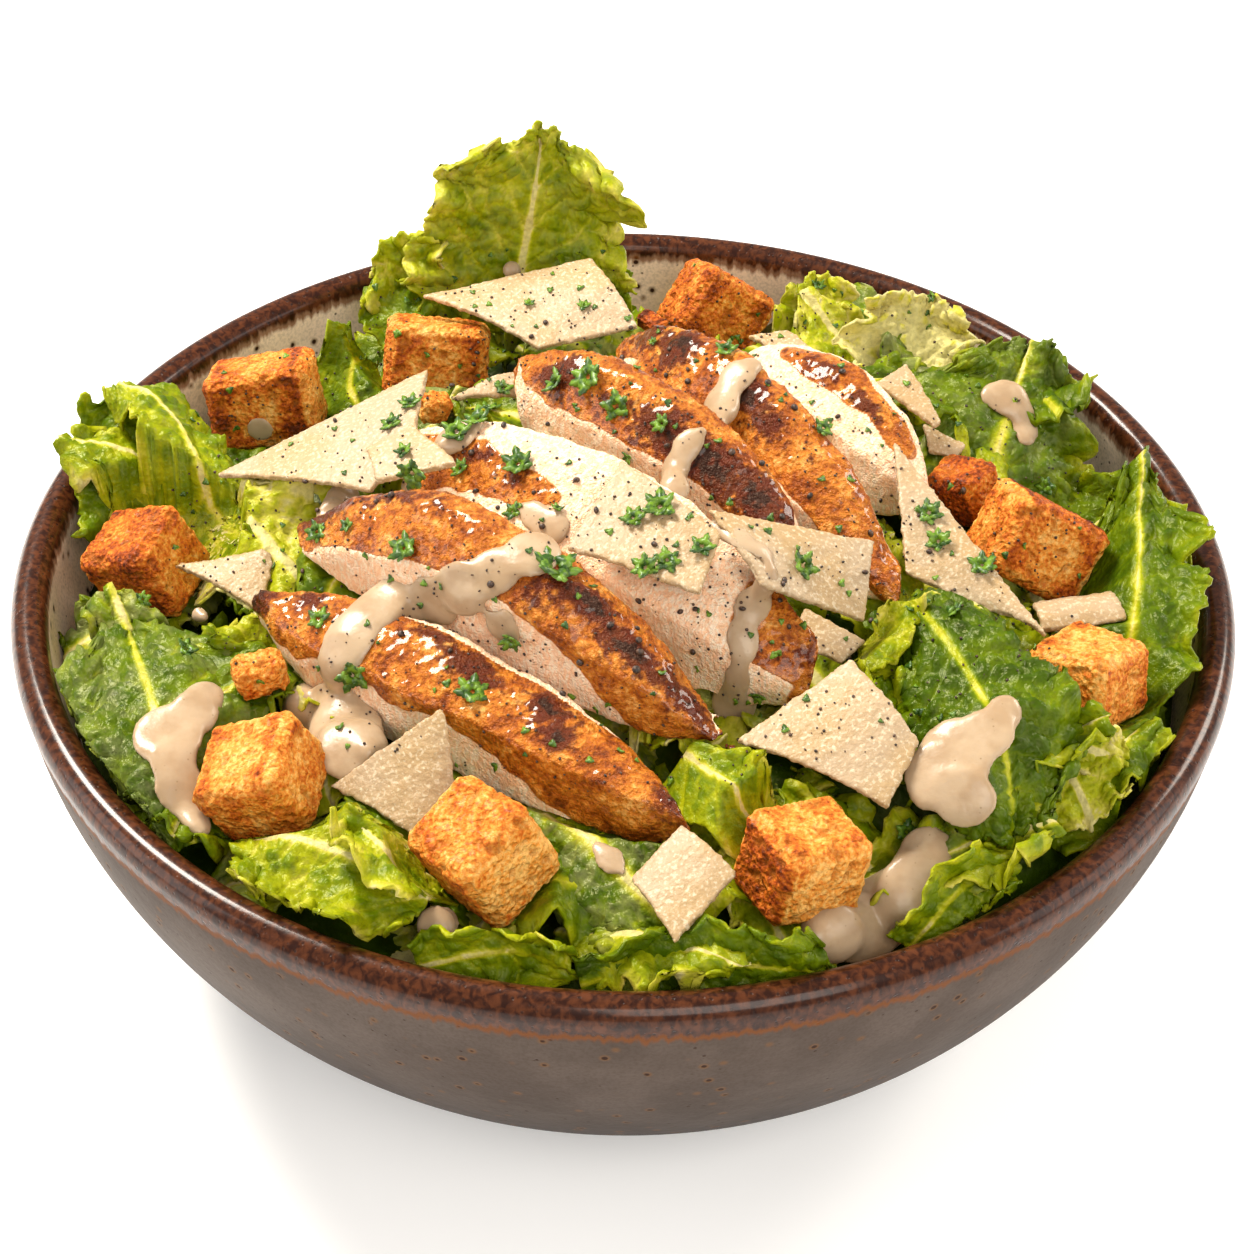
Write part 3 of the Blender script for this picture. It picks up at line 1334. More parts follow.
@dataclass
class Slice:
    """One slice of seared chicken breast over its CAD solid.

    Wrap is how far down its front side the crust goes, at its left and right end, and bare how much
    crust the top lacks outside its sears. Back strip is the bare share of the top along the back, and
    slope how far the front side drops.
    """

    node: str
    chars: tuple[Spot, ...]
    sears: tuple[Spot, ...] = ()
    wrap: tuple[float, float] = (0.10, 0.30)
    bare: float = 0.0
    back_strip: float = 0.0
    slope: float = 6.0
    depth: float = 20.0
    voxel: float = 0.62
    bins: int = 40

    def spots(self, u: np.ndarray, v: np.ndarray, spots: Sequence[Spot]) -> np.ndarray:
        """How strongly patches cover each place.

        Args:
            u: along the slice, from -1 to 1.
            v: across it, from -1 to 1.
            spots: the patches.

        Returns:
            How much of each point they cover.
        """
        cover = np.zeros(len(u))
        for spot in spots:
            near = np.exp(-((u - spot.u) / spot.long) ** 2 - ((v - spot.v) / spot.wide) ** 2)
            cover = np.maximum(cover, spot.strength * near)
        return cover

    def build(self, finish: bpy.types.Material) -> bpy.types.Object:
        """Model the slice.

        Args:
            finish: the chicken's finish.

        Returns:
            The slice, with the marks crust and char.
        """
        name = self.node.replace("chicken_slice", "seared_slice")
        piece = make_object(name, node_mesh(self.node), finish)
        remesh(piece, self.voxel, 5)
        points = points_of(piece.data)
        flat = points[:, :2] - points[:, :2].mean(0)
        along = np.linalg.eigh(np.cov(flat.T))[1][:, 1]
        along = along if along[0] > 0.0 else -along
        across = np.array((-along[1], along[0]))
        u, v = flat @ along, flat @ across
        u = (2.0 * u - u.max() - u.min()) / (u.max() - u.min())
        v = (2.0 * v - v.max() - v.min()) / (v.max() - v.min())
        crest = self.crest_over(u, points[:, 2])
        share = (points[:, 2] + self.crest_over(u, -points[:, 2])) / self.depth
        forward = np.clip((0.45 - v) / 1.45, 0.0, 1.0) ** 1.4
        ease = 1.0 - 0.5 * np.abs(u) ** 3
        points[:, 2] -= self.slope * forward * np.clip(share, 0.0, 1.0) ** 1.5 * ease
        set_points(piece.data, points)
        normals = points_of(piece.data, True)
        low = (crest - self.slope * forward - points[:, 2]) / self.depth
        facing = normals[:, :2] @ across
        seed = float(len(self.node) + 3.0 * self.chars[0].u)
        rough = noise_at(points, 5.0, seed)
        top = smooth(normals[:, 2] + 0.10 * rough, 0.42, 0.66)
        down = self.wrap[0] + (self.wrap[1] - self.wrap[0]) * smooth(u, 0.0, 0.9)
        wrap = smooth(down + 0.10 * rough - low, -0.04, 0.04) * (facing < 0.0)
        ends = smooth(np.abs(u) + 0.05 * rough, 0.90, 0.97)
        crust = np.maximum(np.maximum(top, wrap), ends)
        if self.back_strip:
            strip = smooth(v + 0.06 * rough, 1.0 - self.back_strip, 1.06 - self.back_strip)
            crust = crust * (1.0 - strip * (1.0 - ends))
        seared = self.spots(u, v, self.sears)
        if self.bare:
            kept = np.maximum(1.0 - self.bare, smooth(seared + 0.16 * rough, 0.35, 0.55))
            crust = np.minimum(crust, kept)
        char = self.spots(u, v, self.chars) + 0.22 * rough
        grain = noise_at(points, 1.5, seed + 4.0)
        knobs = cells_at(points, 1.9, seed + 9.0)
        fibre = noise_at(points * np.array((1.0, 1.0, 0.35)), 1.5, seed + 20.0)
        lift = 0.9 * noise_at(points, 13.0, seed) + 0.35 * rough
        lift += crust * (0.30 * grain + 0.36 * np.clip(knobs, 0.0, 1.0) - 0.1)
        lift += (1.0 - crust) * (0.26 * fibre - 0.15)
        set_points(piece.data, points + normals * lift[:, None])
        set_mark(piece.data, "crust", crust)
        set_mark(piece.data, "char", np.clip(char, 0.0, 1.2) * (crust > 0.3))
        settle(piece, [self.node])
        return piece

    def crest_over(self, u: np.ndarray, height: np.ndarray) -> np.ndarray:
        """The greatest height at each point's place along the slice, eased between places.

        Args:
            u: the points' places along the slice, from -1 to 1.
            height: the height that is compared.

        Returns:
            The greatest height there, for each point.
        """
        places = (u + 1.0) * (0.5 * self.bins)
        bins = np.clip(places.astype(int), 0, self.bins - 1)
        tops = np.zeros(self.bins)
        for k in range(self.bins):
            if (bins == k).any():
                tops[k] = height[bins == k].max()
        return np.interp(places - 0.5, np.arange(self.bins), tops)


SLICES = (
    Slice("chicken_slice_front", (
        Spot(-0.97, 0.1, 0.10, 0.9, 1.0), Spot(0.02, 0.25, 0.16, 0.55, 0.95),
        Spot(-0.20, 0.5, 0.12, 0.3, 0.8), Spot(0.34, 0.25, 0.10, 0.5, 1.05),
        Spot(0.44, -0.25, 0.08, 0.45, 0.9), Spot(0.90, 0.1, 0.10, 0.6, 0.75),
        Spot(-0.72, 0.2, 0.12, 0.4, 0.6)), wrap=(0.22, 0.90), back_strip=0.30, slope=4.0),
    Slice("chicken_slice_second", (
        Spot(-0.86, 0.35, 0.16, 0.5, 0.95), Spot(-0.55, 0.45, 0.22, 0.4, 0.7),
        Spot(0.34, 0.05, 0.17, 0.35, 1.15), Spot(0.55, -0.20, 0.18, 0.38, 1.1),
        Spot(0.78, -0.1, 0.15, 0.5, 0.9), Spot(0.20, -0.5, 0.12, 0.3, 0.7),
        Spot(0.97, 0.0, 0.06, 0.8, 0.9)), wrap=(0.02, 0.60)),
    Slice("chicken_slice_middle", (
        Spot(-0.62, 0.15, 0.14, 0.35, 0.55), Spot(-0.38, -0.1, 0.14, 0.35, 0.6),
        Spot(-0.86, 0.0, 0.1, 0.5, 0.5), Spot(0.92, 0.2, 0.12, 0.6, 0.45)),
        (Spot(-0.72, -0.1, 0.30, 0.55, 1.0), Spot(-0.42, -0.25, 0.26, 0.38, 1.0),
         Spot(0.86, 0.05, 0.24, 0.85, 1.15)),
        wrap=(0.0, 0.0), bare=0.82, slope=3.0),
    Slice("chicken_slice_fourth", (
        Spot(-0.60, -0.2, 0.16, 0.6, 0.9), Spot(-0.2, -0.4, 0.20, 0.35, 0.55),
        Spot(0.12, -0.35, 0.20, 0.5, 1.05), Spot(0.42, -0.35, 0.20, 0.6, 1.15),
        Spot(0.68, -0.1, 0.18, 0.7, 1.1), Spot(0.90, 0.0, 0.12, 0.8, 0.8)),
        wrap=(0.02, 0.10)),
    Slice("chicken_slice_fifth", (
        Spot(-0.55, 0.1, 0.14, 0.6, 1.1), Spot(-0.80, 0.2, 0.12, 0.6, 0.75),
        Spot(-0.04, -0.1, 0.12, 0.5, 1.05), Spot(0.12, -0.2, 0.12, 0.4, 0.85),
        Spot(0.32, 0.2, 0.10, 0.4, 0.35)), wrap=(0.02, 0.08)),
    Slice("chicken_slice_back", (
        Spot(-0.2, 0.1, 0.30, 0.45, 0.7), Spot(0.3, 0.0, 0.25, 0.4, 0.75), Spot(-0.75, 0.1, 0.2, 0.6, 0.6)),
        (Spot(-0.1, 0.25, 0.62, 0.6, 1.1), Spot(0.55, 0.2, 0.3, 0.5, 0.9)),
        wrap=(0.0, 0.0), bare=0.8, slope=4.0),
)


# ---- croutons ----

@dataclass
class Crouton:
    """A toasted cube of bread over its CAD solid, browner by toast, with sides seared one by one.

    Each seared side is given as its outward direction and how brown it is.
    """

    node: str
    toast: float = 0.22
    seared: tuple[tuple[Triple, float], ...] = ()
    voxel: float = 0.5

    def build(self, finish: bpy.types.Material) -> bpy.types.Object:
        """Model the crouton.

        Args:
            finish: the toasted crumb.

        Returns:
            The crouton, with the marks toast and pore.
        """
        piece = make_object(self.node.replace("crouton", "toasted_crouton"), node_mesh(self.node), finish)
        remesh(piece, self.voxel, 2)
        points = points_of(piece.data)
        normals = points_of(piece.data, True)
        middle = 0.5 * (points.max(0) + points.min(0))
        seed = float(sum(map(ord, self.node)) % 97)
        radial = (points - middle) / np.maximum(np.linalg.norm(points - middle, axis=1), 0.1)[:, None]
        edge = smooth(1.0 - (radial * normals).sum(1), 0.10, 0.42)
        rough = noise_at(points, 4.0, seed)
        holes = cells_at(points + 0.5 * rough[:, None], 2.7, seed)
        pits = smooth(-noise_at(points, 2.3, seed + 3.0), 0.14, 0.50)
        grain = noise_at(points, 1.15, seed + 8.0)
        toast = self.toast + 0.02 + 0.48 * edge + 0.10 * rough
        for way, brown in self.seared:
            side = smooth(normals @ (np.array(way) / np.linalg.norm(way)) + 0.12 * rough, 0.45, 0.85)
            toast = toast + brown * side
        lift = 0.26 * rough + 0.30 * grain + 0.24 * np.clip(holes, 0.0, 1.0) - 0.55 * pits - 0.05
        set_points(piece.data, points + normals * lift[:, None])
        set_mark(piece.data, "toast", np.clip(toast, 0.0, 1.0))
        set_mark(piece.data, "pore", pits)
        settle(piece, [self.node])
        return piece


FRONT_LEFT = (-0.8, -0.6, -0.1)
FRONT_RIGHT = (0.7, -0.7, -0.1)
TOP = (0.0, -0.1, 1.0)
CROUTONS = (
    Crouton("crouton_back_left", 0.22, ((FRONT_LEFT, 0.45), (TOP, 0.15))),
    Crouton("crouton_left_of_shaving", 0.20, ((FRONT_LEFT, 0.25), (FRONT_RIGHT, 0.12))),
    Crouton("crouton_back", 0.38, ((FRONT_LEFT, 0.22), (TOP, 0.1))),
    Crouton("crouton_small_right", 0.42, ((FRONT_LEFT, 0.35), (TOP, 0.25))),
    Crouton("crouton_right_back", 0.22, ((FRONT_LEFT, 0.30), ((1.0, 0.3, 0.6), 0.38))),
    Crouton("crouton_right", 0.18, ((FRONT_LEFT, 0.10), ((0.9, -0.2, 0.0), 0.15))),
    Crouton("crouton_left", 0.36, (((-0.2, -0.8, 0.5), 0.32), (TOP, 0.12))),
    Crouton("crouton_front_left", 0.20, ((FRONT_LEFT, 0.18), (FRONT_RIGHT, 0.16))),
    Crouton("crouton_front", 0.12, ((FRONT_LEFT, 0.28), (TOP, 0.22))),
    Crouton("crouton_front_right", 0.16, ((FRONT_LEFT, 0.52), (TOP, 0.12))),
    Crouton("crouton_chip_left", 0.30, (), 0.4),
    Crouton("crouton_chip_back", 0.32, (), 0.4),
    Crouton("crouton_chip_far", 0.70, (), 0.35),
)


# ---- cheese ----

@dataclass
class Shavings:
    """Shavings of hard cheese over their CAD solids, with crumbly edges and a grainy face."""

    voxel: float = 0.42
    wobble: float = 0.35
    grain: float = 0.09
    crumble: float = 0.55

    def build(self, node: str, finish: bpy.types.Material) -> bpy.types.Object:
        """Model one shaving.

        Args:
            node: the CAD node that it stands for.
            finish: the cheese.

        Returns:
            The shaving.
        """
        bm = node_mesh(node)
        bmesh.ops.subdivide_edges(bm, edges=bm.edges, cuts=1, use_grid_fill=True)
        piece = make_object(node.replace("shaving", "cheese_shaving"), bm, finish)
        remesh(piece, self.voxel, 2)
        points = points_of(piece.data)
        normals = points_of(piece.data, True)
        seed = float(sum(map(ord, node)) % 89)
        edge = self.edge_share(points, normals)
        lift = self.grain * noise_at(points, 0.9, seed) + 0.16 * noise_at(points, 3.2, seed + 3.0)
        lift += edge * self.crumble * (noise_at(points, 1.6, seed + 7.0) - 0.1)
        sway = self.wobble * noise_at(points * np.array((1.0, 1.0, 0.0)), 11.0, seed + 11.0)
        moved = points + normals * lift[:, None]
        moved[:, 2] += sway
        set_points(piece.data, moved)
        settle(piece, [node])
        return piece

    def edge_share(self, points: np.ndarray, normals: np.ndarray) -> np.ndarray:
        """Near 1 on the thin sides of a shaving, 0 on its faces.

        Args:
            points: the points.
            normals: the surface's directions there.

        Returns:
            For each point, its share of edge.
        """
        spread = points - points.mean(0)
        thin = np.linalg.eigh(np.cov(spread.T))[1][:, 0]
        return 1.0 - smooth(np.abs(normals @ thin), 0.25, 0.75)


# ---- what fell on the salad ----

@dataclass
class Fallen:
    """What fell over the salad from one place, and lies on whatever is under it."""

    under: BVHTree
    pour: Vector

    def land(self, point: Vector) -> Optional[tuple[Vector, Vector]]:
        """Where something dropped at a point lands, and the surface's direction there.

        Args:
            point: what it was aimed at.

        Returns:
            The place and the direction, or None where there is nothing below.
        """
        way = (point - self.pour).normalized()
        hit, normal = self.under.ray_cast(self.pour, way)[:2]
        if hit is None:
            return None
        return hit, normal if normal.dot(way) < 0.0 else -normal

    def stance(self, hit: Vector, normal: Vector, turn: float, size: float, lift: float) -> Matrix:
        """How a small thing stands on a surface.

        Args:
            hit: where it stands.
            normal: the surface's direction.
            turn: how far it is turned, in radians.
            size: its size in millimetres.
            lift: how far it is raised.

        Returns:
            The matrix that places it.
        """
        lie = UP.rotation_difference(normal).to_matrix().to_4x4()
        return (Matrix.Translation(hit + lift * normal) @ lie @ Matrix.Rotation(turn, 4, "Z")
                @ Matrix.Diagonal((size, size, size, 1.0)))


# ---- dressing ----

@dataclass(frozen=True)
class Run:
    """A run of dressing through points, each with the radius there, or one drop at each point."""

    points: tuple[tuple[float, float, float, float], ...]
    thick: float = 1.3
    scattered: bool = False


@dataclass
class Dressing(Fallen):
    """Caesar dressing that was spooned over the salad: it lies on whatever it fell on.

    Step is how far apart its drops are along a run, waver how far they wander, as a share of their
    radius, and stray how far from its aim a drop may land. Easing is how often a run is evened out.
    """

    voxel: float = 0.55
    step: float = 0.9
    waver: float = 0.55
    stray: float = 16.0
    easing: int = 14
    runs: tuple[Run, ...] = (
        Run(((-11.6, -38.1, 118.4, 3.0), (-18.9, -41, 120, 3.6), (-26, -47, 119, 4.4),
             (-31, -47.5, 116, 4.6), (-37, -44, 111, 4.2), (-43, -42, 108, 4.6), (-50, -44, 106, 5.0),
             (-53, -51, 101, 4.0), (-54, -55, 96, 3.0)), 1.5),
        Run(((-22, -47.5, 112, 4.0), (-21, -49, 108, 3.0), (-25, -47, 107, 3.4)), 1.5),
        Run(((-63, -47, 88, 4.2), (-57, -52, 89, 6.0), (-52, -58, 90, 6.4), (-51, -64, 90, 5.0),
             (-46, -62, 88, 4.0)), 1.7),
        Run(((-56, -51, 92, 3.4), (-56, -52, 88, 4.5)), 1.6),
        Run(((-77, -48, 90, 3.0), (-81, -53, 91, 4.0), (-86, -60, 89, 5.0), (-84, -66, 87, 4.2),
             (-80, -73, 85, 3.0), (-77, -80, 83, 2.8)), 1.6),
        Run(((15.9, -3.5, 122.5, 2.6), (10.8, -8.8, 121.7, 2.6), (9.4, -10.8, 117, 3.0),
             (10.5, -17, 112, 3.0)), 1.4),
        Run(((30.1, 20, 121, 2.4), (25.5, 19, 122, 2.4), (21.6, 15.3, 122.4, 3.0), (19.3, 9.1, 120.6, 3.0),
             (18.5, 6, 115, 2.8)), 1.5),
        Run(((27.8, -39.5, 118.5, 2.0), (26.0, -41.3, 112, 2.4), (21.9, -48.2, 108, 3.0),
             (22.8, -51.6, 103, 2.6), (21.0, -51.7, 95, 3.0), (20, -54, 90, 4.0)), 1.3),
        Run(((14.8, -34.4, 123.2, 2.0), (22.2, -37.1, 121.5, 2.6), (27.8, -39.5, 118.5, 2.4)), 0.9),
        Run(((73, -59, 102, 3.0), (69, -66, 101, 3.6), (62, -72, 102, 4.8), (57.5, -78, 101, 5.8),
             (55, -83, 99, 4.6)), 1.4),
        Run(((57.5, -78, 100, 5.0), (63, -82, 97, 4.2), (68, -79, 97, 3.4)), 1.4),
        Run(((58, -80, 89, 3.2), (56, -87, 88, 4.4), (53, -94, 88, 5.4), (48, -100, 87, 6.2),
             (41, -103, 87, 6.0), (34, -105, 86, 4.0)), 1.5),
        Run(((76.5, 47.1, 96, 3.0), (82.8, 44.6, 97, 3.6), (85.6, 39.1, 95, 3.0),
             (86.2, 33.8, 92, 2.8)), 1.3),
        Run(((-90, -23, 91, 2.4), (-84, -27, 92, 3.0), (-77, -31, 92, 2.4)), 0.8),
        Run(((-27.7, 86, 101.7, 3.6), (-27.2, 86, 99.5, 3.2)), 1.8),
        Run(((-5.1, -83.9, 88, 2.2), (2.1, -93.0, 88, 2.0)), 0.9),
        Run(((-41, -109, 88, 2.6), (-34, -107, 89, 3.2), (-27, -104, 89, 2.6)), 1.0),
        Run(((-30, 9, 113, 3.0), (-34, 3, 114, 3.4), (-38, -3, 116, 3.0)), 1.2),
        Run(((-21, -17, 113, 2.6), (-16, -22, 113, 3.0), (-12, -27, 113, 2.6)), 1.2),
        Run(((-60, 20, 93, 3.0), (-53, -2, 95, 3.5), (-66, -8, 93, 3.0)), 1.2),
        Run(((60, 30, 93, 3.5), (40, 62, 95, 3.5), (-10, 88, 92, 3.2), (-80, 40, 88, 3.2)), 0.9, True),
    )

    def build(self, finish: bpy.types.Material) -> bpy.types.Object:
        """Lay the dressing.

        Args:
            finish: the dressing's finish.

        Returns:
            All of it as one piece.
        """
        drops = Stamps()
        for turn, run in enumerate(self.runs):
            if run.scattered:
                for place in run.points:
                    self.lay(drops, [place], run.thick, float(turn))
                continue
            course = [run.points[0]]
            for start, end in zip(run.points, run.points[1:]):
                steps = max(2, round((Vector(end[:3]) - Vector(start[:3])).length / self.step))
                for k in range(1, steps + 1):
                    share = k / steps
                    course.append(tuple(a + (b - a) * share for a, b in zip(start, end)))
            self.lay(drops, course, run.thick, float(turn))
        piece = make_object("caesar_dressing", drops.gather(), finish)
        remesh(piece, self.voxel, 14)
        points = points_of(piece.data)
        normals = points_of(piece.data, True)
        lift = 0.30 * noise_at(points, 7.0, 2.0) + 0.05 * noise_at(points, 2.4, 6.0)
        set_points(piece.data, points + normals * lift[:, None])
        settle(piece)
        return piece

    def lay(self, drops: Stamps, course: Sequence[Sequence[float]], thick: float, seed: float) -> None:
        """Lay flattened drops along a course, eased so that they run together into one sheet.

        Args:
            drops: what takes them.
            course: the points they are aimed at, each with its radius.
            thick: their half thickness.
            seed: what makes this run's outline its own.
        """
        places, ways, sizes = [], [], []
        for k, (x, y, z, radius) in enumerate(course):
            aside = Vector((noise.noise((0.16 * k, seed, 1.0)), noise.noise((0.16 * k, seed, 5.0)), 0.0))
            aim = Vector((x, y, z)) + self.waver * radius * aside
            landed = self.land(aim)
            if landed is None or (landed[0] - aim).length > self.stray:
                continue
            lie = landed[1].copy()
            for turn in range(6):
                way = Vector((math.cos(math.pi * turn / 3.0), math.sin(math.pi * turn / 3.0), 0.0))
                near = self.land(aim + 0.75 * radius * way)
                if near is not None and (near[0] - landed[0]).length < 1.5 * radius + 2.0:
                    lie += near[1]
            places.append(landed[0])
            ways.append(lie.normalized())
            taper = 1.0 if len(course) == 1 else min(1.0, 0.5 + 0.12 * min(k, len(course) - 1 - k))
            sizes.append(1.15 * taper * radius * (1.0 + 0.7 * noise.noise((0.22 * k, seed, 9.0))))
        for _ in range(self.easing):
            places = self.eased(places)
            ways = self.eased(ways)
        for place, way, radius in zip(places, ways, sizes):
            turn = UP.rotation_difference(way).to_matrix().to_4x4()
            flat = Matrix.Diagonal((radius, radius, 0.72 * thick, 1.0))
            where = Matrix.Translation(place + 0.25 * way) @ turn @ flat
            bmesh.ops.create_icosphere(drops.bm, subdivisions=3, radius=1.0, matrix=where)
            drops.count()

    def eased(self, values: Sequence[Vector]) -> list[Vector]:
        """Each value between its neighbours.

        Args:
            values: the values in order.

        Returns:
            As many values, eased.
        """
        last = len(values) - 1
        return [(values[max(k - 1, 0)] + 2.0 * values[k] + values[min(k + 1, last)]) / 4.0
                for k in range(last + 1)]


# ---- parsley and pepper ----

@dataclass
class Parsley(Fallen):
    """Curly parsley: sprigs of toothed leaflets, and torn bits."""

    sprigs: tuple[tuple[float, float, float, float], ...] = (
        (-12.8, -43.6, 119, 4.6), (-41.6, -35, 116, 3.4), (-41.5, -14, 118, 3.6), (-27.5, -63, 105, 3.6),
        (-51, -50, 97, 3.4), (-58, -41, 103, 2.6), (-20.5, -55, 111, 2.4), (-21, -12, 119, 3.6),
        (-8, 11, 124, 4.0), (-2, 1, 124, 3.4), (-48, 10, 112, 2.6), (-45, 21, 109, 2.6),
        (1.5, -33.5, 123, 2.8), (6.5, -31, 124, 3.8), (8, -42, 120, 2.8), (14.5, -39, 121, 2.8),
        (33.5, -38, 116, 3.2), (4, -43, 119, 3.0), (60, -11, 108, 3.0), (61.5, -18.5, 107, 3.0),
        (70, -22, 104, 3.0), (40, 14, 110, 2.4), (20, 24, 122, 2.6), (-85, -38, 92, 2.4),
        (52, -84, 92, 2.6), (64, -34, 102, 2.4), (-15, 31, 108, 3.2), (-10, 60, 108, 1.6),
        (-22, 62, 107, 1.4), (-31, 20, 106, 3.0), (-35, 14, 107, 3.4), (-29, 24, 106, 2.6),
        (-62, -8, 98, 2.6), (-65, -53, 90, 2.4), (-96, -22, 91, 2.0), (77, -26, 102, 2.4),
    )
    extra: int = 14
    extra_reach: float = 98.0
    bits: int = 200
    bits_reach: float = 92.0
    thickness: float = 0.22
    seed: int = 21

    def sprig(self, bm: bmesh.types.BMesh, stand: Matrix, draw: random.Random) -> None:
        """Add a sprig: leaflets round a short stalk.

        Args:
            bm: what takes it.
            stand: how it stands.
            draw: the random numbers.
        """
        count = draw.choice((5, 6, 6))
        for k in range(count):
            turn = FULL_TURN * k / count + draw.uniform(-0.2, 0.2)
            tilt = draw.uniform(-0.45, -0.05)
            reach = draw.uniform(0.44, 0.56)
            spot = (stand @ Matrix.Rotation(turn, 4, "Z") @ Matrix.Rotation(tilt, 4, "Y")
                    @ Matrix.Translation((reach, 0.0, 0.0)))
            self.leaflet(bm, spot, draw.uniform(0.38, 0.50))

    def leaflet(self, bm: bmesh.types.BMesh, spot: Matrix, size: float) -> None:
        """Add one leaflet with a toothed rim.

        Args:
            bm: what takes it.
            spot: how it lies.
            size: its size.
        """
        made = bmesh.ops.create_circle(bm, cap_ends=True, cap_tris=True, segments=27, radius=1.0)
        for vert in made["verts"]:
            a = math.atan2(vert.co.y, vert.co.x)
            out = vert.co.length
            if out > 0.01:
                fan = 0.98 + 0.22 * math.cos(3.0 * a) + 0.10 * math.cos(9.0 * a)
                vert.co = Vector((size * fan * math.cos(a), 0.80 * size * fan * math.sin(a),
                                  0.16 * size * math.cos(3.0 * a)))
            vert.co = spot @ vert.co

    def build(self, finish: bpy.types.Material) -> bpy.types.Object:
        """Scatter the parsley.

        Args:
            finish: its finish.

        Returns:
            All of it as one piece.
        """
        bm = bmesh.new()
        draw = random.Random(self.seed)
        spots = [(Vector(place[:3]), place[3]) for place in self.sprigs]
        for _ in range(self.extra):
            a = draw.uniform(0.0, FULL_TURN)
            out = self.extra_reach * math.sqrt(draw.random())
            spots.append((Vector((out * math.cos(a), out * math.sin(a), 108.0)), draw.uniform(1.0, 2.4)))
        for aim, size in spots:
            landed = self.land(aim)
            if landed is not None:
                self.sprig(bm, self.stance(*landed, draw.uniform(0.0, 6.3), size, 0.35), draw)
        for _ in range(self.bits):
            a = draw.uniform(0.0, FULL_TURN)
            out = self.bits_reach * math.sqrt(draw.random())
            landed = self.land(Vector((out * math.cos(a), out * math.sin(a) - 6.0, 110.0)))
            if landed is not None:
                stand = self.stance(*landed, draw.uniform(0.0, 6.3), draw.uniform(0.5, 1.1), 0.2)
                self.leaflet(bm, stand @ Matrix.Rotation(draw.uniform(-0.5, 0.5), 4, "X"), 0.8)
        piece = make_object("parsley", bm, finish)
        shell = piece.modifiers.new("thickness", "SOLIDIFY")
        shell.thickness = self.thickness * MM
        shell.offset = 0.0
        settle(piece)
        return piece


@dataclass
class Pepper(Fallen):
    """Cracked black pepper over the middle of the salad: fine grains, then a few coarse ones."""

    grains: int = 1350
    grains_reach: float = 84.0
    corns: int = 64
    corns_reach: float = 62.0
    seed: int = 33

    def build(self, finish: bpy.types.Material) -> bpy.types.Object:
        """Scatter the pepper.

        Args:
            finish: its finish.

        Returns:
            All of it as one piece.
        """
        gathered = Stamps()
        draw = random.Random(self.seed)
        for k in range(self.grains + self.corns):
            coarse = k >= self.grains
            a = draw.uniform(0.0, FULL_TURN)
            out = (self.corns_reach if coarse else self.grains_reach) * math.sqrt(draw.random())
            landed = self.land(Vector((1.1 * out * math.cos(a), out * math.sin(a) - 12.0, 112.0)))
            if landed is None:
                continue
            size = draw.uniform(0.50, 0.85) if coarse else draw.uniform(0.14, 0.40)
            stand = self.stance(*landed, draw.uniform(0.0, 6.3), size, 0.35 * size)
            flat = Matrix.Diagonal((1.0, draw.uniform(0.6, 1.0), draw.uniform(0.6, 0.95), 1.0))
            bmesh.ops.create_icosphere(gathered.bm, subdivisions=2 if coarse else 1, radius=1.0,
                                       matrix=stand @ flat)
            gathered.count()
        piece = make_object("cracked_pepper", gathered.gather(), finish)
        settle(piece)
        return piece


# ---- table, lights and camera ----

@dataclass(frozen=True)
class Lamp:
    """A soft square lamp that looks at the salad: its place and side in metres, its power in watts."""

    name: str
    place: Triple
    size: float
    watts: float
    colour: Triple

    def hang(self, target: Triple) -> None:
        """Hang the lamp.

        Args:
            target: what it looks at, in metres.
        """
        data = bpy.data.lights.new(self.name, "AREA")
        data.size = self.size
        data.energy = self.watts
        data.color = self.colour
        lamp = bpy.data.objects.new(self.name, data)
        way = Vector(target) - Vector(self.place)
        turn = way.to_track_quat("-Z", "Y").to_matrix().to_4x4()
        lamp.matrix_world = Matrix.Translation(self.place) @ turn
        bpy.context.scene.collection.objects.link(lamp)


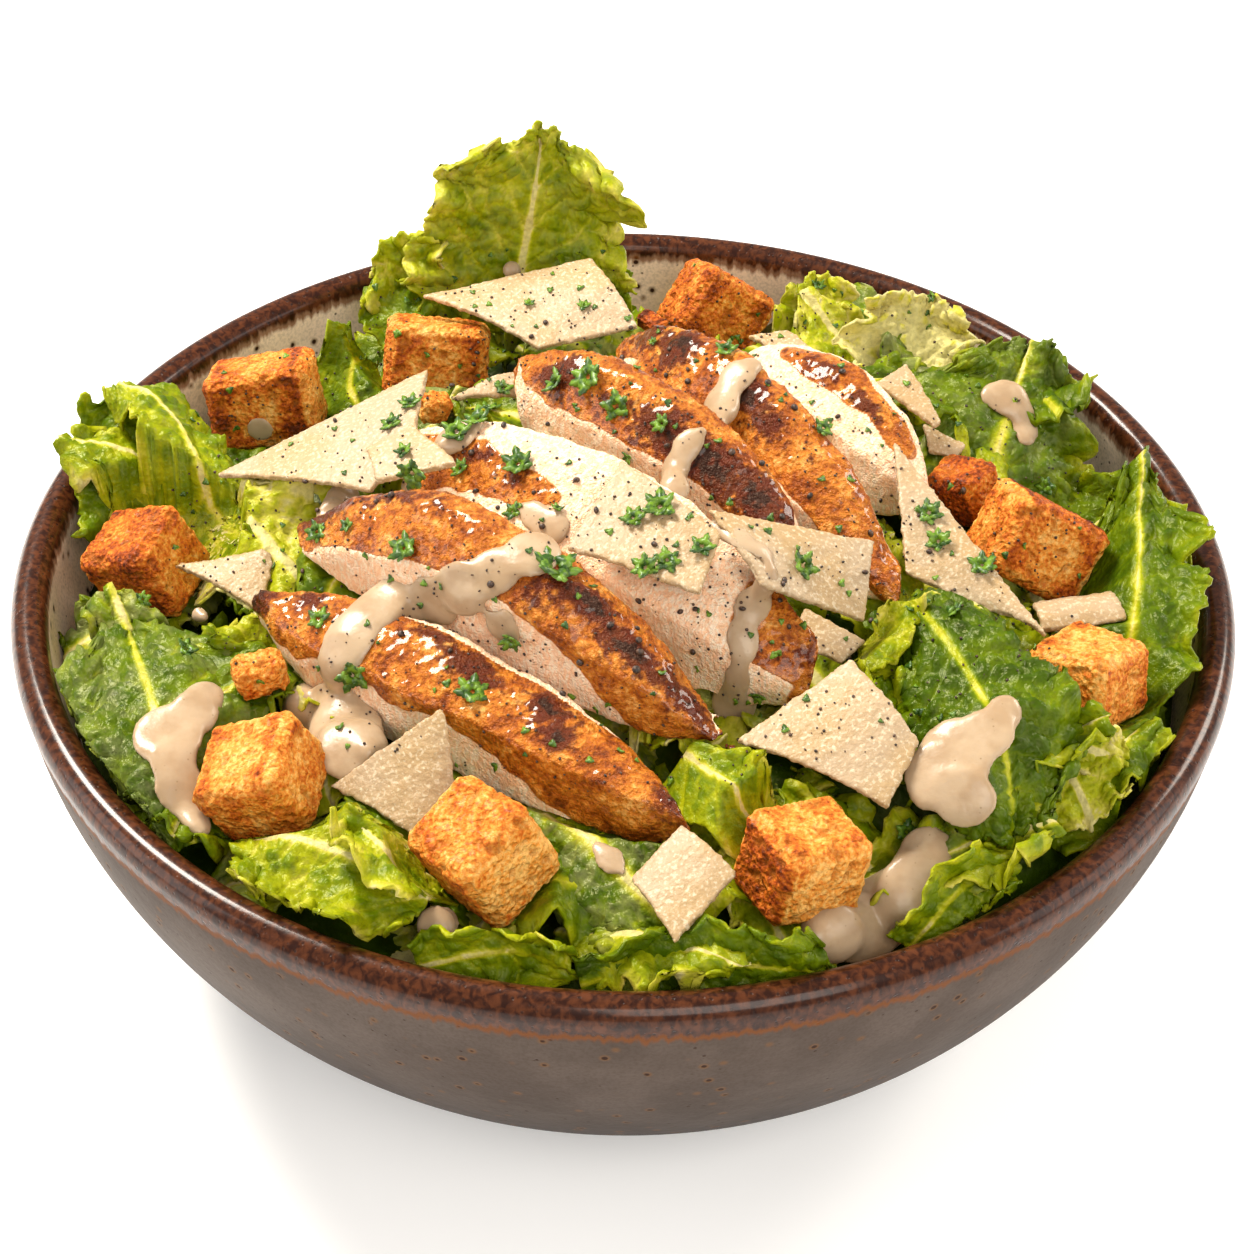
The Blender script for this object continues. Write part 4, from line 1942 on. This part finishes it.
@dataclass
class Studio:
    """A pale table, soft light and the camera, whose sensor, lens and place are in millimetres."""

    aim: Triple = (0.74, 0.0, 67.56)
    distance: float = 560.0
    elevation: float = 40.62
    roll: float = 1.14
    lens: float = 76.13
    sensor: float = 36.0
    sight: float = 20.0
    table: float = 4000.0
    sky: Triple = (1.0, 0.965, 0.92)
    sky_strength: float = 0.44
    lit: Triple = (0.0, 0.0, 0.08)
    lamps: tuple[Lamp, ...] = (
        Lamp("key", (-0.50, 0.45, 0.90), 0.36, 22.0, (1.0, 0.95, 0.85)),
        Lamp("fill", (0.30, -0.85, 0.85), 0.7, 8.0, (1.0, 0.95, 0.88)),
        Lamp("rim", (0.75, 0.45, 0.60), 0.3, 5.0, (1.0, 0.94, 0.84)),
        Lamp("side_left", (-1.1, -0.15, 0.45), 0.7, 5.0, (1.0, 0.96, 0.92)),
        Lamp("side_right", (1.1, -0.15, 0.45), 0.7, 4.0, (1.0, 0.96, 0.92)),
    )

    def eye(self) -> Vector:
        """Where the camera stands, in millimetres."""
        tilt = math.radians(self.elevation)
        return Vector(self.aim) + self.distance * Vector((0.0, -math.cos(tilt), math.sin(tilt)))

    def camera(self) -> None:
        """Stand the camera up."""
        tilt, roll = math.radians(self.elevation), math.radians(self.roll)
        data = bpy.data.cameras.new("camera")
        data.lens = self.lens
        data.sensor_width = self.sensor
        data.clip_end = self.sight
        camera = bpy.data.objects.new("camera", data)
        turn = Matrix.Rotation(0.5 * math.pi - tilt, 4, "X") @ Matrix.Rotation(roll, 4, "Z")
        camera.matrix_world = Matrix.Translation(self.eye() * MM) @ turn
        bpy.context.scene.collection.objects.link(camera)
        bpy.context.scene.camera = camera

    def build(self) -> None:
        """Set everything up."""
        bm = bmesh.new()
        bmesh.ops.create_grid(bm, x_segments=2, y_segments=2, size=0.5 * self.table)
        make_object("table_top", bm, TableTop().make())
        world = bpy.data.worlds.new("studio")
        world.use_nodes = True
        sky = world.node_tree.nodes["Background"]
        sky.inputs["Color"].default_value = (*self.sky, 1.0)
        sky.inputs["Strength"].default_value = self.sky_strength
        bpy.context.scene.world = world
        bpy.context.scene.view_settings.view_transform = "Standard"
        for lamp in self.lamps:
            lamp.hang(self.lit)
        self.camera()


def main() -> None:
    """Build every part of the salad in order."""
    logging.basicConfig(level=logging.INFO)
    studio = Studio()
    studio.build()
    bowl = Bowl()
    bowl.build()
    greens = Greens(bowl, Ceiling()).build()
    meat = SearedMeat().make()
    toppings = [piece.build(meat) for piece in SLICES]
    bread = Toast().make()
    toppings += [piece.build(bread) for piece in CROUTONS]
    cheese, shavings = HardCheese().make(), Shavings()
    for node in sorted(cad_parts):
        if node.startswith("shaving"):
            toppings.append(shavings.build(node, cheese))
    eye = studio.eye()
    dressing = Dressing(tree_of(toppings + greens), eye).build(CreamyDressing().make())
    surface = tree_of(toppings + greens + [dressing])
    Parsley(surface, eye).build(PARSLEY_GREEN.make())
    Pepper(surface, eye).build(PEPPER_BLACK.make())


if __name__ == "__main__":
    main()
